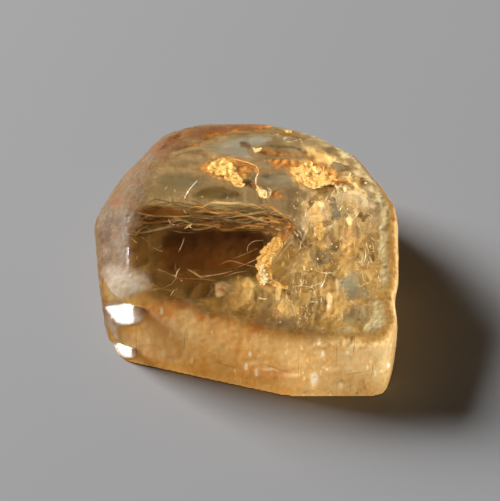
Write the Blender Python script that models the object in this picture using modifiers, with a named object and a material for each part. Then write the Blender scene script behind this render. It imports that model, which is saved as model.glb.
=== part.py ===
"""A water-worn piece of imperial topaz, in metres, +Z up.

Topaz grows as long striated prisms and splits cleanly across them. This piece is one short length
of such a prism, lying on one split end with the other end up. The origin is the middle of the flat
that it rests on. The piece is blocked out as a solid inside a ring of named faces, scooped where
chips have come off, worn round as a river wears it, and cut flat where it rests.
"""

import math

import bmesh
import bpy
from mathutils import Matrix, Vector

MM = 0.001

# Driving dimensions: all the faces and scoops are given for a stone of this width, in millimetres.
STONE_WIDTH = 12.9 * MM
DRAWN_WIDTH = 12.9
UNIT = STONE_WIDTH / DRAWN_WIDTH

# The faces are measured from a point inside the stone, this high above the flat it rests on.
HEART_HEIGHT = 2.2

# name: (compass angle of the face's normal from +X, its lean above level, distance from the heart)
CRYSTAL_FACES = {
    "under_split": (0, -90, 2.75),
    "top_split_front": (-72.5, 78.7, 2.58),
    "top_split_rear": (75.3, 78.9, 2.72),
    "right_wall": (0, -3, 6.28),
    "right_back_wall": (25, 4, 6.2),
    "back_right_wall": (50, 7, 6.5),
    "back_wall": (72, 7, 6.7),
    "back_middle_wall": (95, 6, 6.7),
    "back_left_wall": (118, 7, 6.85),
    "left_back_wall": (140, 6, 6.7),
    "left_rear_wall": (162, 3, 6.55),
    "left_wall": (185, -4, 6.48),
    "left_front_wall": (205, -1, 6.87),
    "front_prism_face": (253.5, 3, 5.68),
    "front_right_face": (270, 4, 6.4),
    "front_right_corner": (315, 2, 8.75),
    "right_front_wall": (345, -2, 7.3),
    "left_shoulder": (152, 45, 5.35),
    "left_end_shoulder": (190, 42, 5.75),
    "back_shoulder": (95, 58, 5.45),
    "right_shoulder": (20, 42, 5.9),
    "front_left_corner": (215, 38, 6.2),
}

# A cleft runs slantwise down the right wall. Its rod goes from one point to the other.
CLEFT_TOP = (7.15, -5.2, 4.2)
CLEFT_FOOT = (7.3, 0.2, -1.2)
CLEFT_RADIUS = 1.1

# name: (place of the scooping ball's centre, its radius), in millimetres
CHIPS = {
    "left_step_chip": ((-6.5, 4.4, 4.4), 1.3),
    "back_chip": ((2.6, 7.7, 4.6), 1.5),
}

# How far the river has worn it: the grain of the worn skin, how many passes round it off, and the
# share of the skin's triangles that are kept, since flats need few.
SKIN_GRAIN = 0.2
WEAR_PASSES = 34
WEAR_STRENGTH = 0.5
KEPT_SHARE = 0.28

CLEFT_SIDES = 24
BLOCK_SIZE = 40.0
CUTTER_SIZE = 30.0


def clear_scene():
    """Removes whatever the file opened with."""
    for thing in list(bpy.data.objects):
        bpy.data.objects.remove(thing)


def new_collection(name):
    """A collection in the scene, for the stone or for its cutters."""
    collection = bpy.data.collections.new(name)
    bpy.context.scene.collection.children.link(collection)
    return collection


def object_from(shape, name, collection):
    """Turns a bmesh drawn in millimetres into an object at its real size."""
    bmesh.ops.scale(shape, vec=Vector((UNIT, UNIT, UNIT)), verts=shape.verts)
    mesh = bpy.data.meshes.new(name)
    shape.to_mesh(mesh)
    shape.free()
    thing = bpy.data.objects.new(name, mesh)
    collection.objects.link(thing)
    return thing


def normal_of(compass, lean):
    """The outward normal of a face, from its compass angle and its lean in degrees."""
    turn = math.radians(compass)
    rise = math.radians(lean)
    return Vector((math.cos(turn) * math.cos(rise), math.sin(turn) * math.cos(rise), math.sin(rise)))


def cut_away(shape, point, normal):
    """Removes what lies outside a plane and closes the cut with one flat face."""
    everything = shape.verts[:] + shape.edges[:] + shape.faces[:]
    cut = bmesh.ops.bisect_plane(shape, geom=everything, plane_co=point, plane_no=normal, clear_outer=True)
    rim = [part for part in cut["geom_cut"] if isinstance(part, bmesh.types.BMEdge)]
    if rim:
        bmesh.ops.contextual_create(shape, geom=rim)


def crystal_block(collection):
    """The sharp-edged block inside the crystal's faces."""
    heart = Vector((0, 0, HEART_HEIGHT))
    shape = bmesh.new()
    bmesh.ops.create_cube(shape, size=BLOCK_SIZE)
    for compass, lean, distance in CRYSTAL_FACES.values():
        outward = normal_of(compass, lean)
        cut_away(shape, heart + outward * distance, outward)
    bmesh.ops.recalc_face_normals(shape, faces=shape.faces)
    return object_from(shape, "topaz_crystal", collection)


def stand_on(place, thing):
    """Fixes a thing to the empty that carries the whole stone."""
    thing.parent = place
    return thing


def as_cutter(thing):
    """Keeps a cutter out of the finished part."""
    thing.hide_render = True
    thing.display_type = "WIRE"
    return thing


def chip_ball(name, centre, radius, collection):
    """A ball that scoops a shell-shaped chip."""
    shape = bmesh.new()
    place = Matrix.Translation(Vector(centre))
    bmesh.ops.create_icosphere(shape, subdivisions=3, radius=radius, matrix=place)
    return as_cutter(object_from(shape, name, collection))


def cleft_rod(collection):
    """A rod along the cleft, with its middle between the cleft's two ends."""
    top, foot = Vector(CLEFT_TOP), Vector(CLEFT_FOOT)
    along = top - foot
    place = Matrix.Translation((top + foot) / 2) @ along.to_track_quat("Z", "Y").to_matrix().to_4x4()
    shape = bmesh.new()
    bmesh.ops.create_cone(
        shape,
        cap_ends=True,
        segments=CLEFT_SIDES,
        radius1=CLEFT_RADIUS,
        radius2=CLEFT_RADIUS,
        depth=along.length,
        matrix=place,
    )
    return as_cutter(object_from(shape, "cleft_rod", collection))


def ground_block(collection):
    """Everything below the flat that the stone rests on."""
    shape = bmesh.new()
    below = Matrix.Translation(Vector((0, 0, -CUTTER_SIZE / 2)))
    bmesh.ops.create_cube(shape, size=CUTTER_SIZE, matrix=below)
    return as_cutter(object_from(shape, "ground_block", collection))


def subtract(stone, cutter):
    """Cuts one solid out of the stone."""
    boolean = stone.modifiers.new("cut_" + cutter.name, "BOOLEAN")
    boolean.operation = "DIFFERENCE"
    boolean.solver = "EXACT"
    boolean.object = cutter


def wear_round(stone):
    """Gives the stone an even skin and rounds its edges, as tumbling in a river does."""
    skin = stone.modifiers.new("worn_skin", "REMESH")
    skin.mode = "VOXEL"
    skin.voxel_size = SKIN_GRAIN * UNIT
    wear = stone.modifiers.new("wear", "SMOOTH")
    wear.factor = WEAR_STRENGTH
    wear.iterations = WEAR_PASSES
    thinning = stone.modifiers.new("fewer_triangles", "DECIMATE")
    thinning.ratio = KEPT_SHARE


def topaz_material():
    """Clear orange-yellow topaz."""
    material = bpy.data.materials.new("imperial_topaz")
    material.use_nodes = True
    surface = material.node_tree.nodes["Principled BSDF"]
    surface.inputs["Base Color"].default_value = (0.93, 0.62, 0.22, 1)
    surface.inputs["Roughness"].default_value = 0.15
    surface.inputs["Metallic"].default_value = 0.0
    surface.inputs["IOR"].default_value = 1.62
    surface.inputs["Transmission Weight"].default_value = 1.0
    return material


def centre_footprint(place, stone):
    """Slides the stone and its cutters until the middle of its outline is over the origin."""
    bpy.context.view_layer.update()
    worn = stone.evaluated_get(bpy.context.evaluated_depsgraph_get())
    corners = [worn.matrix_world @ Vector(corner) for corner in worn.bound_box]
    for axis in (0, 1):
        reach = [corner[axis] for corner in corners]
        place.location[axis] -= (min(reach) + max(reach)) / 2


def build():
    clear_scene()
    stone_parts = new_collection("imperial_topaz")
    cutters = new_collection("cutters")
    place = bpy.data.objects.new("resting_place", None)
    stone_parts.objects.link(place)
    stone = stand_on(place, crystal_block(stone_parts))
    subtract(stone, stand_on(place, cleft_rod(cutters)))
    for name, (centre, radius) in CHIPS.items():
        subtract(stone, stand_on(place, chip_ball(name, centre, radius, cutters)))
    wear_round(stone)
    subtract(stone, stand_on(place, ground_block(cutters)))
    stone.data.materials.append(topaz_material())
    centre_footprint(place, stone)


build()
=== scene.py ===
# %% [markdown]
# A rough crystal of imperial topaz. This script dresses the plain solid that comes with the frame:
# it gives the stone its frosted, grooved sides and its glassy split top, and it puts into the clear
# body the golden fractures, stained films, threads and needles that such a crystal holds.
# Lengths are in millimetres until a mesh is finished, and then they are scaled to metres.

# %% Tools and the frame
import math
import random

import bmesh
import bpy
import numpy as np
from mathutils import Matrix, Vector, noise
from mathutils.bvhtree import BVHTree
from mathutils.interpolate import poly_3d_calc


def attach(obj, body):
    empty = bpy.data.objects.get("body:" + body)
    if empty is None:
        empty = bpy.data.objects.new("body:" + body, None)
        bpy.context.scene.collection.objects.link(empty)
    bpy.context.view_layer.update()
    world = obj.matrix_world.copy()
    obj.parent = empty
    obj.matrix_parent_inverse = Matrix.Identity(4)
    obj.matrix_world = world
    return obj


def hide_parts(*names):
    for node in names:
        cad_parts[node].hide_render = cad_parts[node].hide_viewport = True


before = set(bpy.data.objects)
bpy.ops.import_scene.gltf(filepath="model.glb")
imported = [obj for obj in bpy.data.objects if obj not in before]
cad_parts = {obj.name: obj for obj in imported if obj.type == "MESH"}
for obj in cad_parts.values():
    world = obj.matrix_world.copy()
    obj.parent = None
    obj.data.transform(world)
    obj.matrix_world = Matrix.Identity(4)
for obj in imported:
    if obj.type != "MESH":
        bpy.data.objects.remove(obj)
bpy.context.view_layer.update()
MM = 0.001
print("solids in the frame:", sorted(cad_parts))

# %% [markdown]
# The camera comes first, because the flaws inside the stone are drawn as it sees them. It looks down
# at 45 degrees, and its long lens keeps the prism's edges nearly parallel. A drawing plane stands
# square to it through the middle of the stone, with its x to the right and its y upwards.

# %% Camera and drawing plane
VIEW_HEIGHT = math.radians(45)
VIEW_DISTANCE = 160.0
AIM = Vector((0.171, -0.234, 2.2))
LENS = 267.9
SENSOR = 36.0
NEAREST = 1 * MM
TO_CAMERA = Vector((0, -math.cos(VIEW_HEIGHT), math.sin(VIEW_HEIGHT)))
RIGHT = Vector((1, 0, 0))
UP = Vector((0, math.sin(VIEW_HEIGHT), math.cos(VIEW_HEIGHT)))
EYE = AIM + TO_CAMERA * VIEW_DISTANCE


def add_camera():
    """A still camera that looks at the middle of the stone."""
    camera = bpy.data.cameras.new("camera")
    camera.lens = LENS
    camera.sensor_width = SENSOR
    camera.clip_start = NEAREST
    holder = bpy.data.objects.new("camera", camera)
    holder.location = EYE * MM
    holder.rotation_euler = TO_CAMERA.to_track_quat("Z", "Y").to_euler()
    bpy.context.scene.collection.objects.link(holder)
    return holder


bpy.context.scene.camera = add_camera()
print("the camera stands", round(VIEW_DISTANCE), "mm from the stone")

# %% [markdown]
# Shader nodes are easier to read as sums. A Wire is one output socket, and adding, multiplying or
# subtracting wires makes the Math nodes. The reflected forms let a plain number come first.

# %% Sums of sockets
class Wire:
    """An output socket that can be used in a sum as if it were a number."""

    def __init__(self, recipe, socket):
        self.recipe = recipe
        self.socket = socket

    def math(self, operation, *numbers):
        """A Math node that works on wires or plain numbers."""
        return self.recipe.add("ShaderNodeMath", {"operation": operation}, dict(enumerate(numbers)))

    def __add__(self, other):
        return self.math("ADD", self, other)

    def __radd__(self, other):
        return self.math("ADD", other, self)

    def __sub__(self, other):
        return self.math("SUBTRACT", self, other)

    def __rsub__(self, other):
        return self.math("SUBTRACT", other, self)

    def __mul__(self, other):
        return self.math("MULTIPLY", self, other)

    def __rmul__(self, other):
        return self.math("MULTIPLY", other, self)

    def between(self, low, high):
        """0 up to low, 1 from high on, and a smooth slope from one to the other."""
        sockets = {"Value": self, "From Min": low, "From Max": high}
        return self.recipe.add("ShaderNodeMapRange", {"interpolation_type": "SMOOTHSTEP"}, sockets)


print("a wire can be added, subtracted and multiplied")

# %% [markdown]
# Every other node comes from one method, Recipe.add. It takes a node's type, its settings and the
# values or links of its sockets. The shorter methods after it are the nodes that the finishes of
# this stone need again and again: blends, noise, bump and places on the stone in millimetres.

# %% One material's nodes
class Recipe:
    """The node tree of one new material."""

    def __init__(self, name):
        self.material = bpy.data.materials.new(name)
        self.material.use_nodes = True
        self.tree = self.material.node_tree
        self.tree.nodes.clear()

    def add(self, kind, settings=None, sockets=None, output=0):
        """Makes a node, sets its settings first, then links or fills its sockets."""
        node = self.tree.nodes.new(kind)
        for name, value in (settings or {}).items():
            setattr(node, name, value)
        for name, value in (sockets or {}).items():
            if isinstance(value, Wire):
                self.tree.links.new(value.socket, node.inputs[name])
            elif isinstance(value, tuple) and node.inputs[name].type == "RGBA":
                node.inputs[name].default_value = (*value, 1)
            else:
                node.inputs[name].default_value = value
        return Wire(self, node.outputs[output])

    def mix_colours(self, way, factor, first, second):
        """A Mix node. Its two colours are inputs 6 and 7, and the mixed one is output 2."""
        settings = {"data_type": "RGBA", "blend_type": way}
        return self.add("ShaderNodeMix", settings, {0: factor, 6: first, 7: second}, 2)

    def blend(self, factor, first, second):
        """One colour into another."""
        return self.mix_colours("MIX", factor, first, second)

    def tint(self, first, second):
        """One colour times another."""
        return self.mix_colours("MULTIPLY", 1.0, first, second)

    def mix(self, factor, first, second):
        """One shader into another."""
        return self.add("ShaderNodeMixShader", None, {0: factor, 1: first, 2: second})

    def noise(self, where, scale, detail, roughness=0.5):
        """Soft noise around 0.5."""
        sockets = {"Vector": where, "Scale": scale, "Detail": detail, "Roughness": roughness}
        return self.add("ShaderNodeTexNoise", None, sockets)

    def warped(self):
        """Object coordinates in millimetres, shifted by noise so that straight patterns bend."""
        where = self.place()
        sockets = {"Vector": where, "Scale": 1.1, "Detail": 3.0}
        shift = self.add("ShaderNodeTexNoise", None, sockets, "Color")
        return self.add("ShaderNodeVectorMath", {"operation": "ADD"}, {0: where, 1: shift})

    def attribute(self, name, kind="Fac"):
        """What the mesh carries at its points: a number, or a colour where the kind is Color."""
        return self.add("ShaderNodeAttribute", {"attribute_name": name}, None, kind)

    def place(self, stretch=(1, 1, 1)):
        """Object coordinates in millimetres, stretched along each axis."""
        where = self.add("ShaderNodeTexCoord", None, None, "Object")
        scale = tuple(share / MM for share in stretch)
        return self.add("ShaderNodeMapping", None, {"Vector": where, "Scale": scale})

    def along(self, compass, stretch):
        """Object coordinates in millimetres, stretched along one level direction."""
        where = self.add("ShaderNodeTexCoord", None, None, "Object")
        turn = (0, 0, math.radians(compass))
        sockets = {"Vector": where, "Rotation": turn, "Scale": (stretch * MM, MM, MM)}
        return self.add("ShaderNodeMapping", {"vector_type": "TEXTURE"}, sockets)

    def bump(self, height, depth, strength=1.0):
        """A normal that a height in 0 to 1 tilts, as relief of a depth in millimetres would."""
        sockets = {"Height": height, "Distance": depth * MM, "Strength": strength}
        return self.add("ShaderNodeBump", None, sockets)

    def finish(self, surface, volume=None):
        """Sends the shaders to the output and hands back the material."""
        sockets = {"Surface": surface}
        if volume:
            sockets["Volume"] = volume
        node = self.tree.nodes.new("ShaderNodeOutputMaterial")
        for name, value in sockets.items():
            self.tree.links.new(value.socket, node.inputs[name])
        return self.material


print("helpers of a recipe:", ", ".join(name for name in vars(Recipe) if not name.startswith("_")))

# %% [markdown]
# Two kinds of drawn line are used throughout: an open one for threads and edges, and a closed
# one for patches. Both are smooth curves through a few points (a Catmull-Rom spline), so a shape
# needs only the points where it turns.

# %% Smooth lines and outlines
LEVEL_SIDE = 1e-9


def spline(a, b, c, d, t):
    """The point at a share t of the way from b to c, on a smooth curve that a and d steer."""
    straight = 2 * b + (c - a) * t
    bend = (2 * a - 5 * b + 4 * c - d) * t**2
    return 0.5 * (straight + bend + (3 * b - a - 3 * c + d) * t**3)


def smooth_line(points, count):
    """Evenly many points on a smooth open line through given ones."""
    knots = [Vector(p) for p in points]
    knots = [2 * knots[0] - knots[1], *knots, 2 * knots[-1] - knots[-2]]
    spans = len(knots) - 3
    line = []
    for step in range(count):
        at = step / (count - 1) * spans
        first = min(int(at), spans - 1)
        line.append(spline(*knots[first : first + 4], at - first))
    return line


def smooth_loop(points, steps=4):
    """A smooth closed outline through given points, with a few steps from each to the next."""
    knots = [Vector(p) for p in points]
    loop = []
    for first in range(len(knots)):
        near = [knots[(first + shift) % len(knots)] for shift in (-1, 0, 1, 2)]
        loop += [spline(*near, step / steps) for step in range(steps)]
    return loop


def rim_distance(spots, outline):
    """How far each spot is inside a closed outline. It is negative outside."""
    corners = np.array([(c[0], c[1]) for c in outline])
    sides = np.roll(corners, -1, axis=0) - corners
    offsets = np.asarray(spots)[:, None, :] - corners
    share = np.clip((offsets * sides).sum(2) / (sides**2).sum(1), 0, 1)
    nearest = np.linalg.norm(offsets - share[..., None] * sides, axis=2).min(1)
    crosses = (offsets[..., 1] < 0) != (offsets[..., 1] < sides[:, 1])
    rise = np.where(sides[:, 1] == 0, LEVEL_SIDE, sides[:, 1])
    ahead = offsets[..., 0] < sides[:, 0] * offsets[..., 1] / rise
    inside = (crosses & ahead).sum(1) % 2 == 1
    return np.where(inside, nearest, -nearest)


square = [(-1, -1), (1, -1), (1, 1), (-1, 1)]
print("inside and outside a square:", rim_distance([(0, 0.5), (2, 0)], square))

# %% [markdown]
# The solid is worn smooth, but two chips have flown off the real stone's front left corner, and
# their flat floors mirror the lamp. The skin starts as a copy of the solid. The copy's triangles are
# loose, so they are merged first. Rays cast at the copy then find the foot of each chip's floor,
# which is drawn as the camera sees it.

# %% Skin: a closed copy of the solid
CHIPS = [
    {"foot": (-5.2, -3.2), "back": (-5.5, -2.2), "side": (-4.78, -2.6), "height": 1.12},
    {"foot": (-5.5, -4.6), "back": (-5.4, -3.85), "side": (-5.02, -4.1), "height": 0.8},
]
SAME_SPOT = 0.001


def in_scene(name, shape):
    """An object made of a mesh under construction."""
    mesh = bpy.data.meshes.new(name)
    shape.to_mesh(mesh)
    shape.free()
    thing = bpy.data.objects.new(name, mesh)
    bpy.context.scene.collection.objects.link(thing)
    return thing


def merged_copy(node):
    """The solid's mesh as one closed net, in millimetres."""
    shape = bmesh.new()
    shape.from_mesh(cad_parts[node].data)
    bmesh.ops.scale(shape, vec=(1 / MM, 1 / MM, 1 / MM), verts=shape.verts)
    bmesh.ops.remove_doubles(shape, verts=shape.verts, dist=SAME_SPOT)
    return in_scene("topaz_skin", shape)


def sight_through(x, y):
    """The way from the camera through a drawn point."""
    return (AIM + RIGHT * x + UP * y - EYE).normalized()


skin = merged_copy("topaz_crystal")
solid_faces = [tuple(face.vertices) for face in skin.data.polygons]
solid = BVHTree.FromPolygons([vert.co for vert in skin.data.vertices], solid_faces)
feet = [solid.ray_cast(EYE, sight_through(*chip["foot"]))[0] for chip in CHIPS]
print("the chips' floors start at", [tuple(round(c, 2) for c in foot) for foot in feet])

# %% [markdown]
# A cutter for each chip starts as a cube, and planes cut it back: the floor, a wall behind it and a
# slope to its right. Each plane goes through a drawn point, and the floor leans so that it sends the
# lamp's light to the camera. Boolean modifiers take the cutters out of the copy. A voxel remesh then
# gives an even net that is fine enough for grooves, pits and chips.

# %% Skin: chips, and an even net
SKIN_GRAIN = 0.08
SKIN_EASE = 3
GLEAM = Vector((-0.518, -0.189, 0.834))
REAR_WALL = Vector((-0.38, -0.92, 0.1))
RIGHT_SLOPE = Vector((-0.92, -0.15, 0.36))
CUTTER_REACH = (8, 9)
CUTTER_SINK = 1
CUTTER_SHIFT = (-1, 0.5)


def on_floor(foot, x, y):
    """Where a line of sight meets the chip's floor, which goes through its foot."""
    sight = sight_through(x, y)
    return EYE + sight * ((foot - EYE).dot(GLEAM) / sight.dot(GLEAM))


def chip_cutter(chip, foot):
    """A block above a chip's floor, of which only what is in front of each plane stays."""
    size = Vector((*CUTTER_REACH, chip["height"] + CUTTER_SINK))
    middle = foot + Vector((*CUTTER_SHIFT, (chip["height"] - CUTTER_SINK) / 2))
    shape = bmesh.new()
    bmesh.ops.create_cube(shape, size=1, matrix=Matrix.Translation(middle) @ Matrix.Diagonal((*size, 1)))
    back, side = on_floor(foot, *chip["back"]), on_floor(foot, *chip["side"])
    for spot, facing in ((foot, GLEAM), (back, REAR_WALL), (side, RIGHT_SLOPE)):
        geom = [*shape.verts, *shape.edges, *shape.faces]
        cut = bmesh.ops.bisect_plane(shape, geom=geom, plane_co=spot, plane_no=facing, clear_inner=True)
        rim = [part for part in cut["geom_cut"] if isinstance(part, bmesh.types.BMEdge)]
        bmesh.ops.edgeloop_fill(shape, edges=rim)
    bmesh.ops.recalc_face_normals(shape, faces=shape.faces)
    return in_scene("chip", shape)


def even_net(stone, feet):
    """Takes the chips out of the stone and remeshes it evenly."""
    cutters = [chip_cutter(chip, foot) for chip, foot in zip(CHIPS, feet)]
    for cutter in cutters:
        split = stone.modifiers.new("split", "BOOLEAN")
        split.operation = "DIFFERENCE"
        split.object = cutter
    net = stone.modifiers.new("net", "REMESH")
    net.mode = "VOXEL"
    net.voxel_size = SKIN_GRAIN
    ease = stone.modifiers.new("ease", "SMOOTH")
    ease.factor = 0.5
    ease.iterations = SKIN_EASE
    even = bpy.data.meshes.new_from_object(stone.evaluated_get(bpy.context.evaluated_depsgraph_get()))
    stone.modifiers.clear()
    stone.data = even
    for cutter in cutters:
        bpy.data.objects.remove(cutter)


even_net(skin, feet)
print("the skin's net has", len(skin.data.polygons), "faces")

# %% [markdown]
# What the net's points carry decides how rough, clear, pale or rusty the skin is there. Working on
# all points at once with arrays is far quicker than a loop. These helpers read them, find where the
# camera sees them, and give soft steps and noise over them.

# %% Skin: its points and normals, and where the camera sees them
def vectors_of(mesh, what):
    """A vector of each point of a mesh, as rows of three numbers."""
    values = np.empty(len(mesh.vertices) * 3)
    mesh.vertices.foreach_get(what, values)
    return values.reshape(-1, 3)


def drawn_at(points):
    """Where the camera sees each point on the drawing plane."""
    offsets = points - np.array(EYE)
    scale = VIEW_DISTANCE / -(offsets @ np.array(TO_CAMERA))
    return np.stack([offsets @ np.array(RIGHT), offsets @ np.array(UP)], axis=1) * scale[:, None]


def ease_between(low, high, values):
    """0 up to low, 1 from high on, and a smooth slope from one to the other."""
    share = np.clip((values - low) / (high - low), 0, 1)
    return share * share * (3 - 2 * share)


def grain(points, size, stretch=(1, 1, 1), seed=0.0):
    """Noise from about -1 to 1 with waves of one size, longer along the axes with a small stretch."""
    reach = np.array(stretch) / size
    places = points * reach + np.array((seed, -seed, 2 * seed))
    return np.array([noise.noise(place) for place in places.tolist()])


points = vectors_of(skin.data, "co")
normals = vectors_of(skin.data, "normal")
skin_faces = [tuple(face.vertices) for face in skin.data.polygons]
smooth_skin = BVHTree.FromPolygons(points.tolist(), skin_faces)
smooth_normals = [Vector(normal) for normal in normals.tolist()]
drawn = drawn_at(points)
upness = normals[:, 2]
print("the camera sees the skin from", drawn.min(0).round(1), "to", drawn.max(0).round(1))

# %% [markdown]
# The top of the crystal is a fresh split, clear as glass, and its sides and base are frosted. The
# window's outline is drawn as the camera sees it, and noise frays it, because frost doesn't end in a
# clean line. The same numbers, kept at the mesh's points, steer the relief and later the material.
# The underside rests flat, and only the floors of the two chips are polished.

# %% Skin: the window, the base and the chips' floors
WINDOW = [
    (-4.2, 3.35), (-3.95, 4.2), (-3.2, 4.95), (-1.9, 5.45), (0, 5.7), (1.3, 5.6), (2.3, 5.0), (3.5, 4.4),
    (4.45, 3.75), (5.15, 2.9), (5.6, 1.65), (5.75, 0.25), (5.7, -1.05), (5.6, -2.1), (5.0, -3.05),
    (4.05, -3.55), (2.55, -3.45), (1.3, -3.25), (0, -3), (-0.95, -2.65), (-1.9, -2.35), (-3.35, -2.15),
    (-4.0, -1.9), (-4.5, -1.4), (-5.0, -0.85), (-5.15, 0), (-5.15, 0.8), (-4.9, 1.5), (-4.6, 2.15),
    (-4.4, 2.75),
]
FAR_OUTSIDE = -9.0
COARSE_FRAY = 0.22
FINE_FRAY = 0.12
FRAYING = 2
SOFT_RIM = 0.4
CRISPER_ON_RIGHT = 0.25
facing_up = upness > 0.1
inside = np.full(len(points), FAR_OUTSIDE)
inside[facing_up] = rim_distance(drawn[facing_up], smooth_loop(WINDOW, 3))
fray = COARSE_FRAY * grain(points, 0.9, seed=3.1) + FINE_FRAY * grain(points, 0.3, seed=6.4)
softness = SOFT_RIM - CRISPER_ON_RIGHT * ease_between(2.0, 5.0, points[:, 0])
window = ease_between(-softness, softness, inside + FRAYING * fray) * ease_between(0.15, 0.4, upness)
window *= ease_between(-0.44, -0.2, normals[:, 0])
resting = ease_between(0.6, 0.9, -upness)
polish = np.zeros(len(points))
for foot in feet:
    flat = ease_between(-0.16, -0.06, -abs((points - np.array(foot)) @ np.array(GLEAM)))
    polish = np.maximum(polish, flat * ease_between(0.93, 0.98, normals @ np.array(GLEAM)))
polish *= ease_between(4.6, 4.8, -points[:, 0])
wall = (1 - window) * (1 - resting) * (1 - polish)
print("the window takes", round(100 * float(window.mean())), "percent of the skin")

# %% [markdown]
# Frost isn't one colour. It is whitish round the chips and in other patches, partly pale frost and
# partly painted sheen, rusty where iron has crept in, and darker in the creases at the left edge,
# which is painted shade. Rust also veils the window along its left rear rim. Soft oval patches,
# drawn like the window, hold where each tone is, and painted glints are tiny pale spots.

# %% Skin: patches of tone
# Pale frost with painted sheen, round the chips and along the front.
PALE_FROST_AND_SHEEN = [
    (-4.0, -3.9, 2.3, 1.3, 0.76), (-5.3, -1.6, 0.95, 0.75, 1.0), (-5.8, -1.6, 0.5, 0.9, 1.0),
    (5.1, -4.9, 1.2, 1.3, 0.4), (2.75, -5.55, 0.22, 0.35, 1.0), (0.0, -4.8, 0.45, 0.1, 0.7),
    (-5.5, -4.0, 0.6, 0.6, 0.85), (0.85, -5.1, 0.5, 0.1, 0.8), (1.75, -5.35, 0.45, 0.1, 0.7),
    (3.6, -5.1, 0.4, 0.1, 0.5),
]
# Painted glints, each a tiny pale spot.
PAINTED_GLINT = (0.09, 0.18, 1.0)
PAINTED_GLINTS = [
    (0, -4.44), (0.28, -5.24), (2.97, -3.87), (3.12, -4.44), (3.89, -5.79), (4.19, -4.38), (5.03, -5.02),
    (5.38, -5.28), (5.94, -4.94), (-3.8, -2.59), (-3.72, -4.38), (-4.36, -3.87), (-2.52, -4.72),
    (-0.17, -4.95), (-3.42, -3.61),
]
RUSTY = [
    (-3.95, -2.65, 0.75, 0.4, 0.6), (-2.1, -2.85, 0.24, 0.22, 1.0), (-1.6, -2.8, 0.2, 0.2, 0.9),
    (-3.1, -2.35, 0.45, 0.28, 0.5), (-5.7, 2.05, 0.22, 0.26, 0.9), (-3.95, 4.3, 0.35, 0.28, 0.8),
    (0.2, -3.35, 0.3, 0.2, 0.6), (-4.2, -4.0, 1.5, 0.85, 0.3), (0.9, -5.3, 0.9, 0.35, 0.4),
]
RIM_RUST = [
    (-3.75, 4.1, 0.4, 0.35, 0.7), (-3.25, 4.6, 0.5, 0.28, 0.75), (-2.45, 4.95, 0.6, 0.2, 0.8),
    (-1.5, 5.2, 0.7, 0.18, 0.85), (-0.5, 5.35, 0.7, 0.16, 0.8), (0.35, 5.42, 0.5, 0.1, 0.6),
]
# Painted shade in the creases at the left edge.
CREASE_SHADE_PATCHES = [(-6.25, 0.6, 0.3, 0.5, 0.8), (-5.75, 1.25, 0.5, 0.22, 0.7), (-6.1, -0.5, 0.25, 0.4, 0.5)]


def patchy(spots):
    """Soft oval patches with frayed rims: where each is, its half width, half height and strength."""
    tone = np.zeros(len(points))
    for x, y, wide, tall, strength in spots:
        reach = np.hypot((drawn[:, 0] - x) / wide, (drawn[:, 1] - y) / tall)
        tone = np.maximum(tone, strength * ease_between(-1.4, -0.5, -(reach + FRAYING * fray)))
    return tone * ease_between(0.0, 0.25, normals @ np.array(TO_CAMERA))


# Pale frost and painted sheen, with the painted glints among them.
pale = patchy(PALE_FROST_AND_SHEEN + [(*place, *PAINTED_GLINT) for place in PAINTED_GLINTS])
rim_rust = patchy(RIM_RUST)
rusty = np.maximum(patchy(RUSTY), rim_rust)
# Painted crease shade.
dusky = patchy(CREASE_SHADE_PATCHES)
frost = np.maximum(1 - window, rim_rust)
print("rust shows on", int((rusty > 0.5).sum()), "points, and pale frost on", int((pale > 0.5).sum()))

# %% [markdown]
# Frost also changes over the whole stone. It gets a painted lit colour where it faces the lamp, which
# stands low behind the left shoulder, and a painted sunny tone towards the thin right rim. That rim
# glows, because light comes through it, and a painted boost makes it glow more. The underside is
# greyer towards the rear.

# %% Skin: tones that change over the whole stone
LAMP_TURN = Matrix.Rotation(math.radians(150), 3, "Z") @ Matrix.Rotation(math.radians(-30), 3, "Y")
TO_LAMP = LAMP_TURN @ Vector((1, 0, 0))
# Painted light and shade: frost that faces the lamp gets a lit colour of its own and less glow.
lit = ease_between(0.0, 0.45, normals @ np.array(TO_LAMP))
# Painted light: the frost grows sunnier towards the right.
sunny = ease_between(0.5, 4.5, points[:, 0])
# Painted glow on the thin right rim, which faces away from the lamp.
rim = ease_between(0.1, 0.4, upness) * (1 - lit) * ease_between(2.5, 4.5, points[:, 0])
rear = ease_between(-0.6, 2.4, points[:, 1] + 2 * FRAYING * fray)
print("the lamp lights", round(100 * float((lit > 0.5).mean())), "percent of the skin")

# %% [markdown]
# A worn crystal still has fine grooves along its length and soft pebbles where it was chipped. The
# points move along their normals by noise, so the relief is real and shows at the outline too. It
# fades out near the floor, where the stone rests flat.

# %% Skin: relief
GROOVES = 0.012
PEBBLES = 0.016
SWELL = 0.030
coarse = grain(points, 0.55, (1, 1, 0.2), 1.7)
fine = grain(points, 0.22, (1, 1, 0.3), 5.3)
pebbles = grain(points, 0.45, seed=8.2) + 0.8 * grain(points, 0.2, seed=2.9)
relief = wall * (GROOVES * (coarse + 0.5 * fine) * (1 - lit) + PEBBLES * (1 + lit) * pebbles)
relief += window * SWELL * grain(points, 2.6, seed=4.4)
relief *= ease_between(0.02, 0.4, points[:, 2])
moved = points + normals * relief[:, None]
moved[:, 2] = np.maximum(moved[:, 2], 0)
print("the relief moves points by up to", round(float(abs(relief).max()), 3), "mm")

# %% [markdown]
# The moved points go back into the mesh in metres. Every number that the material needs, the painted
# light and shade among them, is stored there as an attribute, so the pattern is part of the stone and
# is the same from every side.

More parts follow.
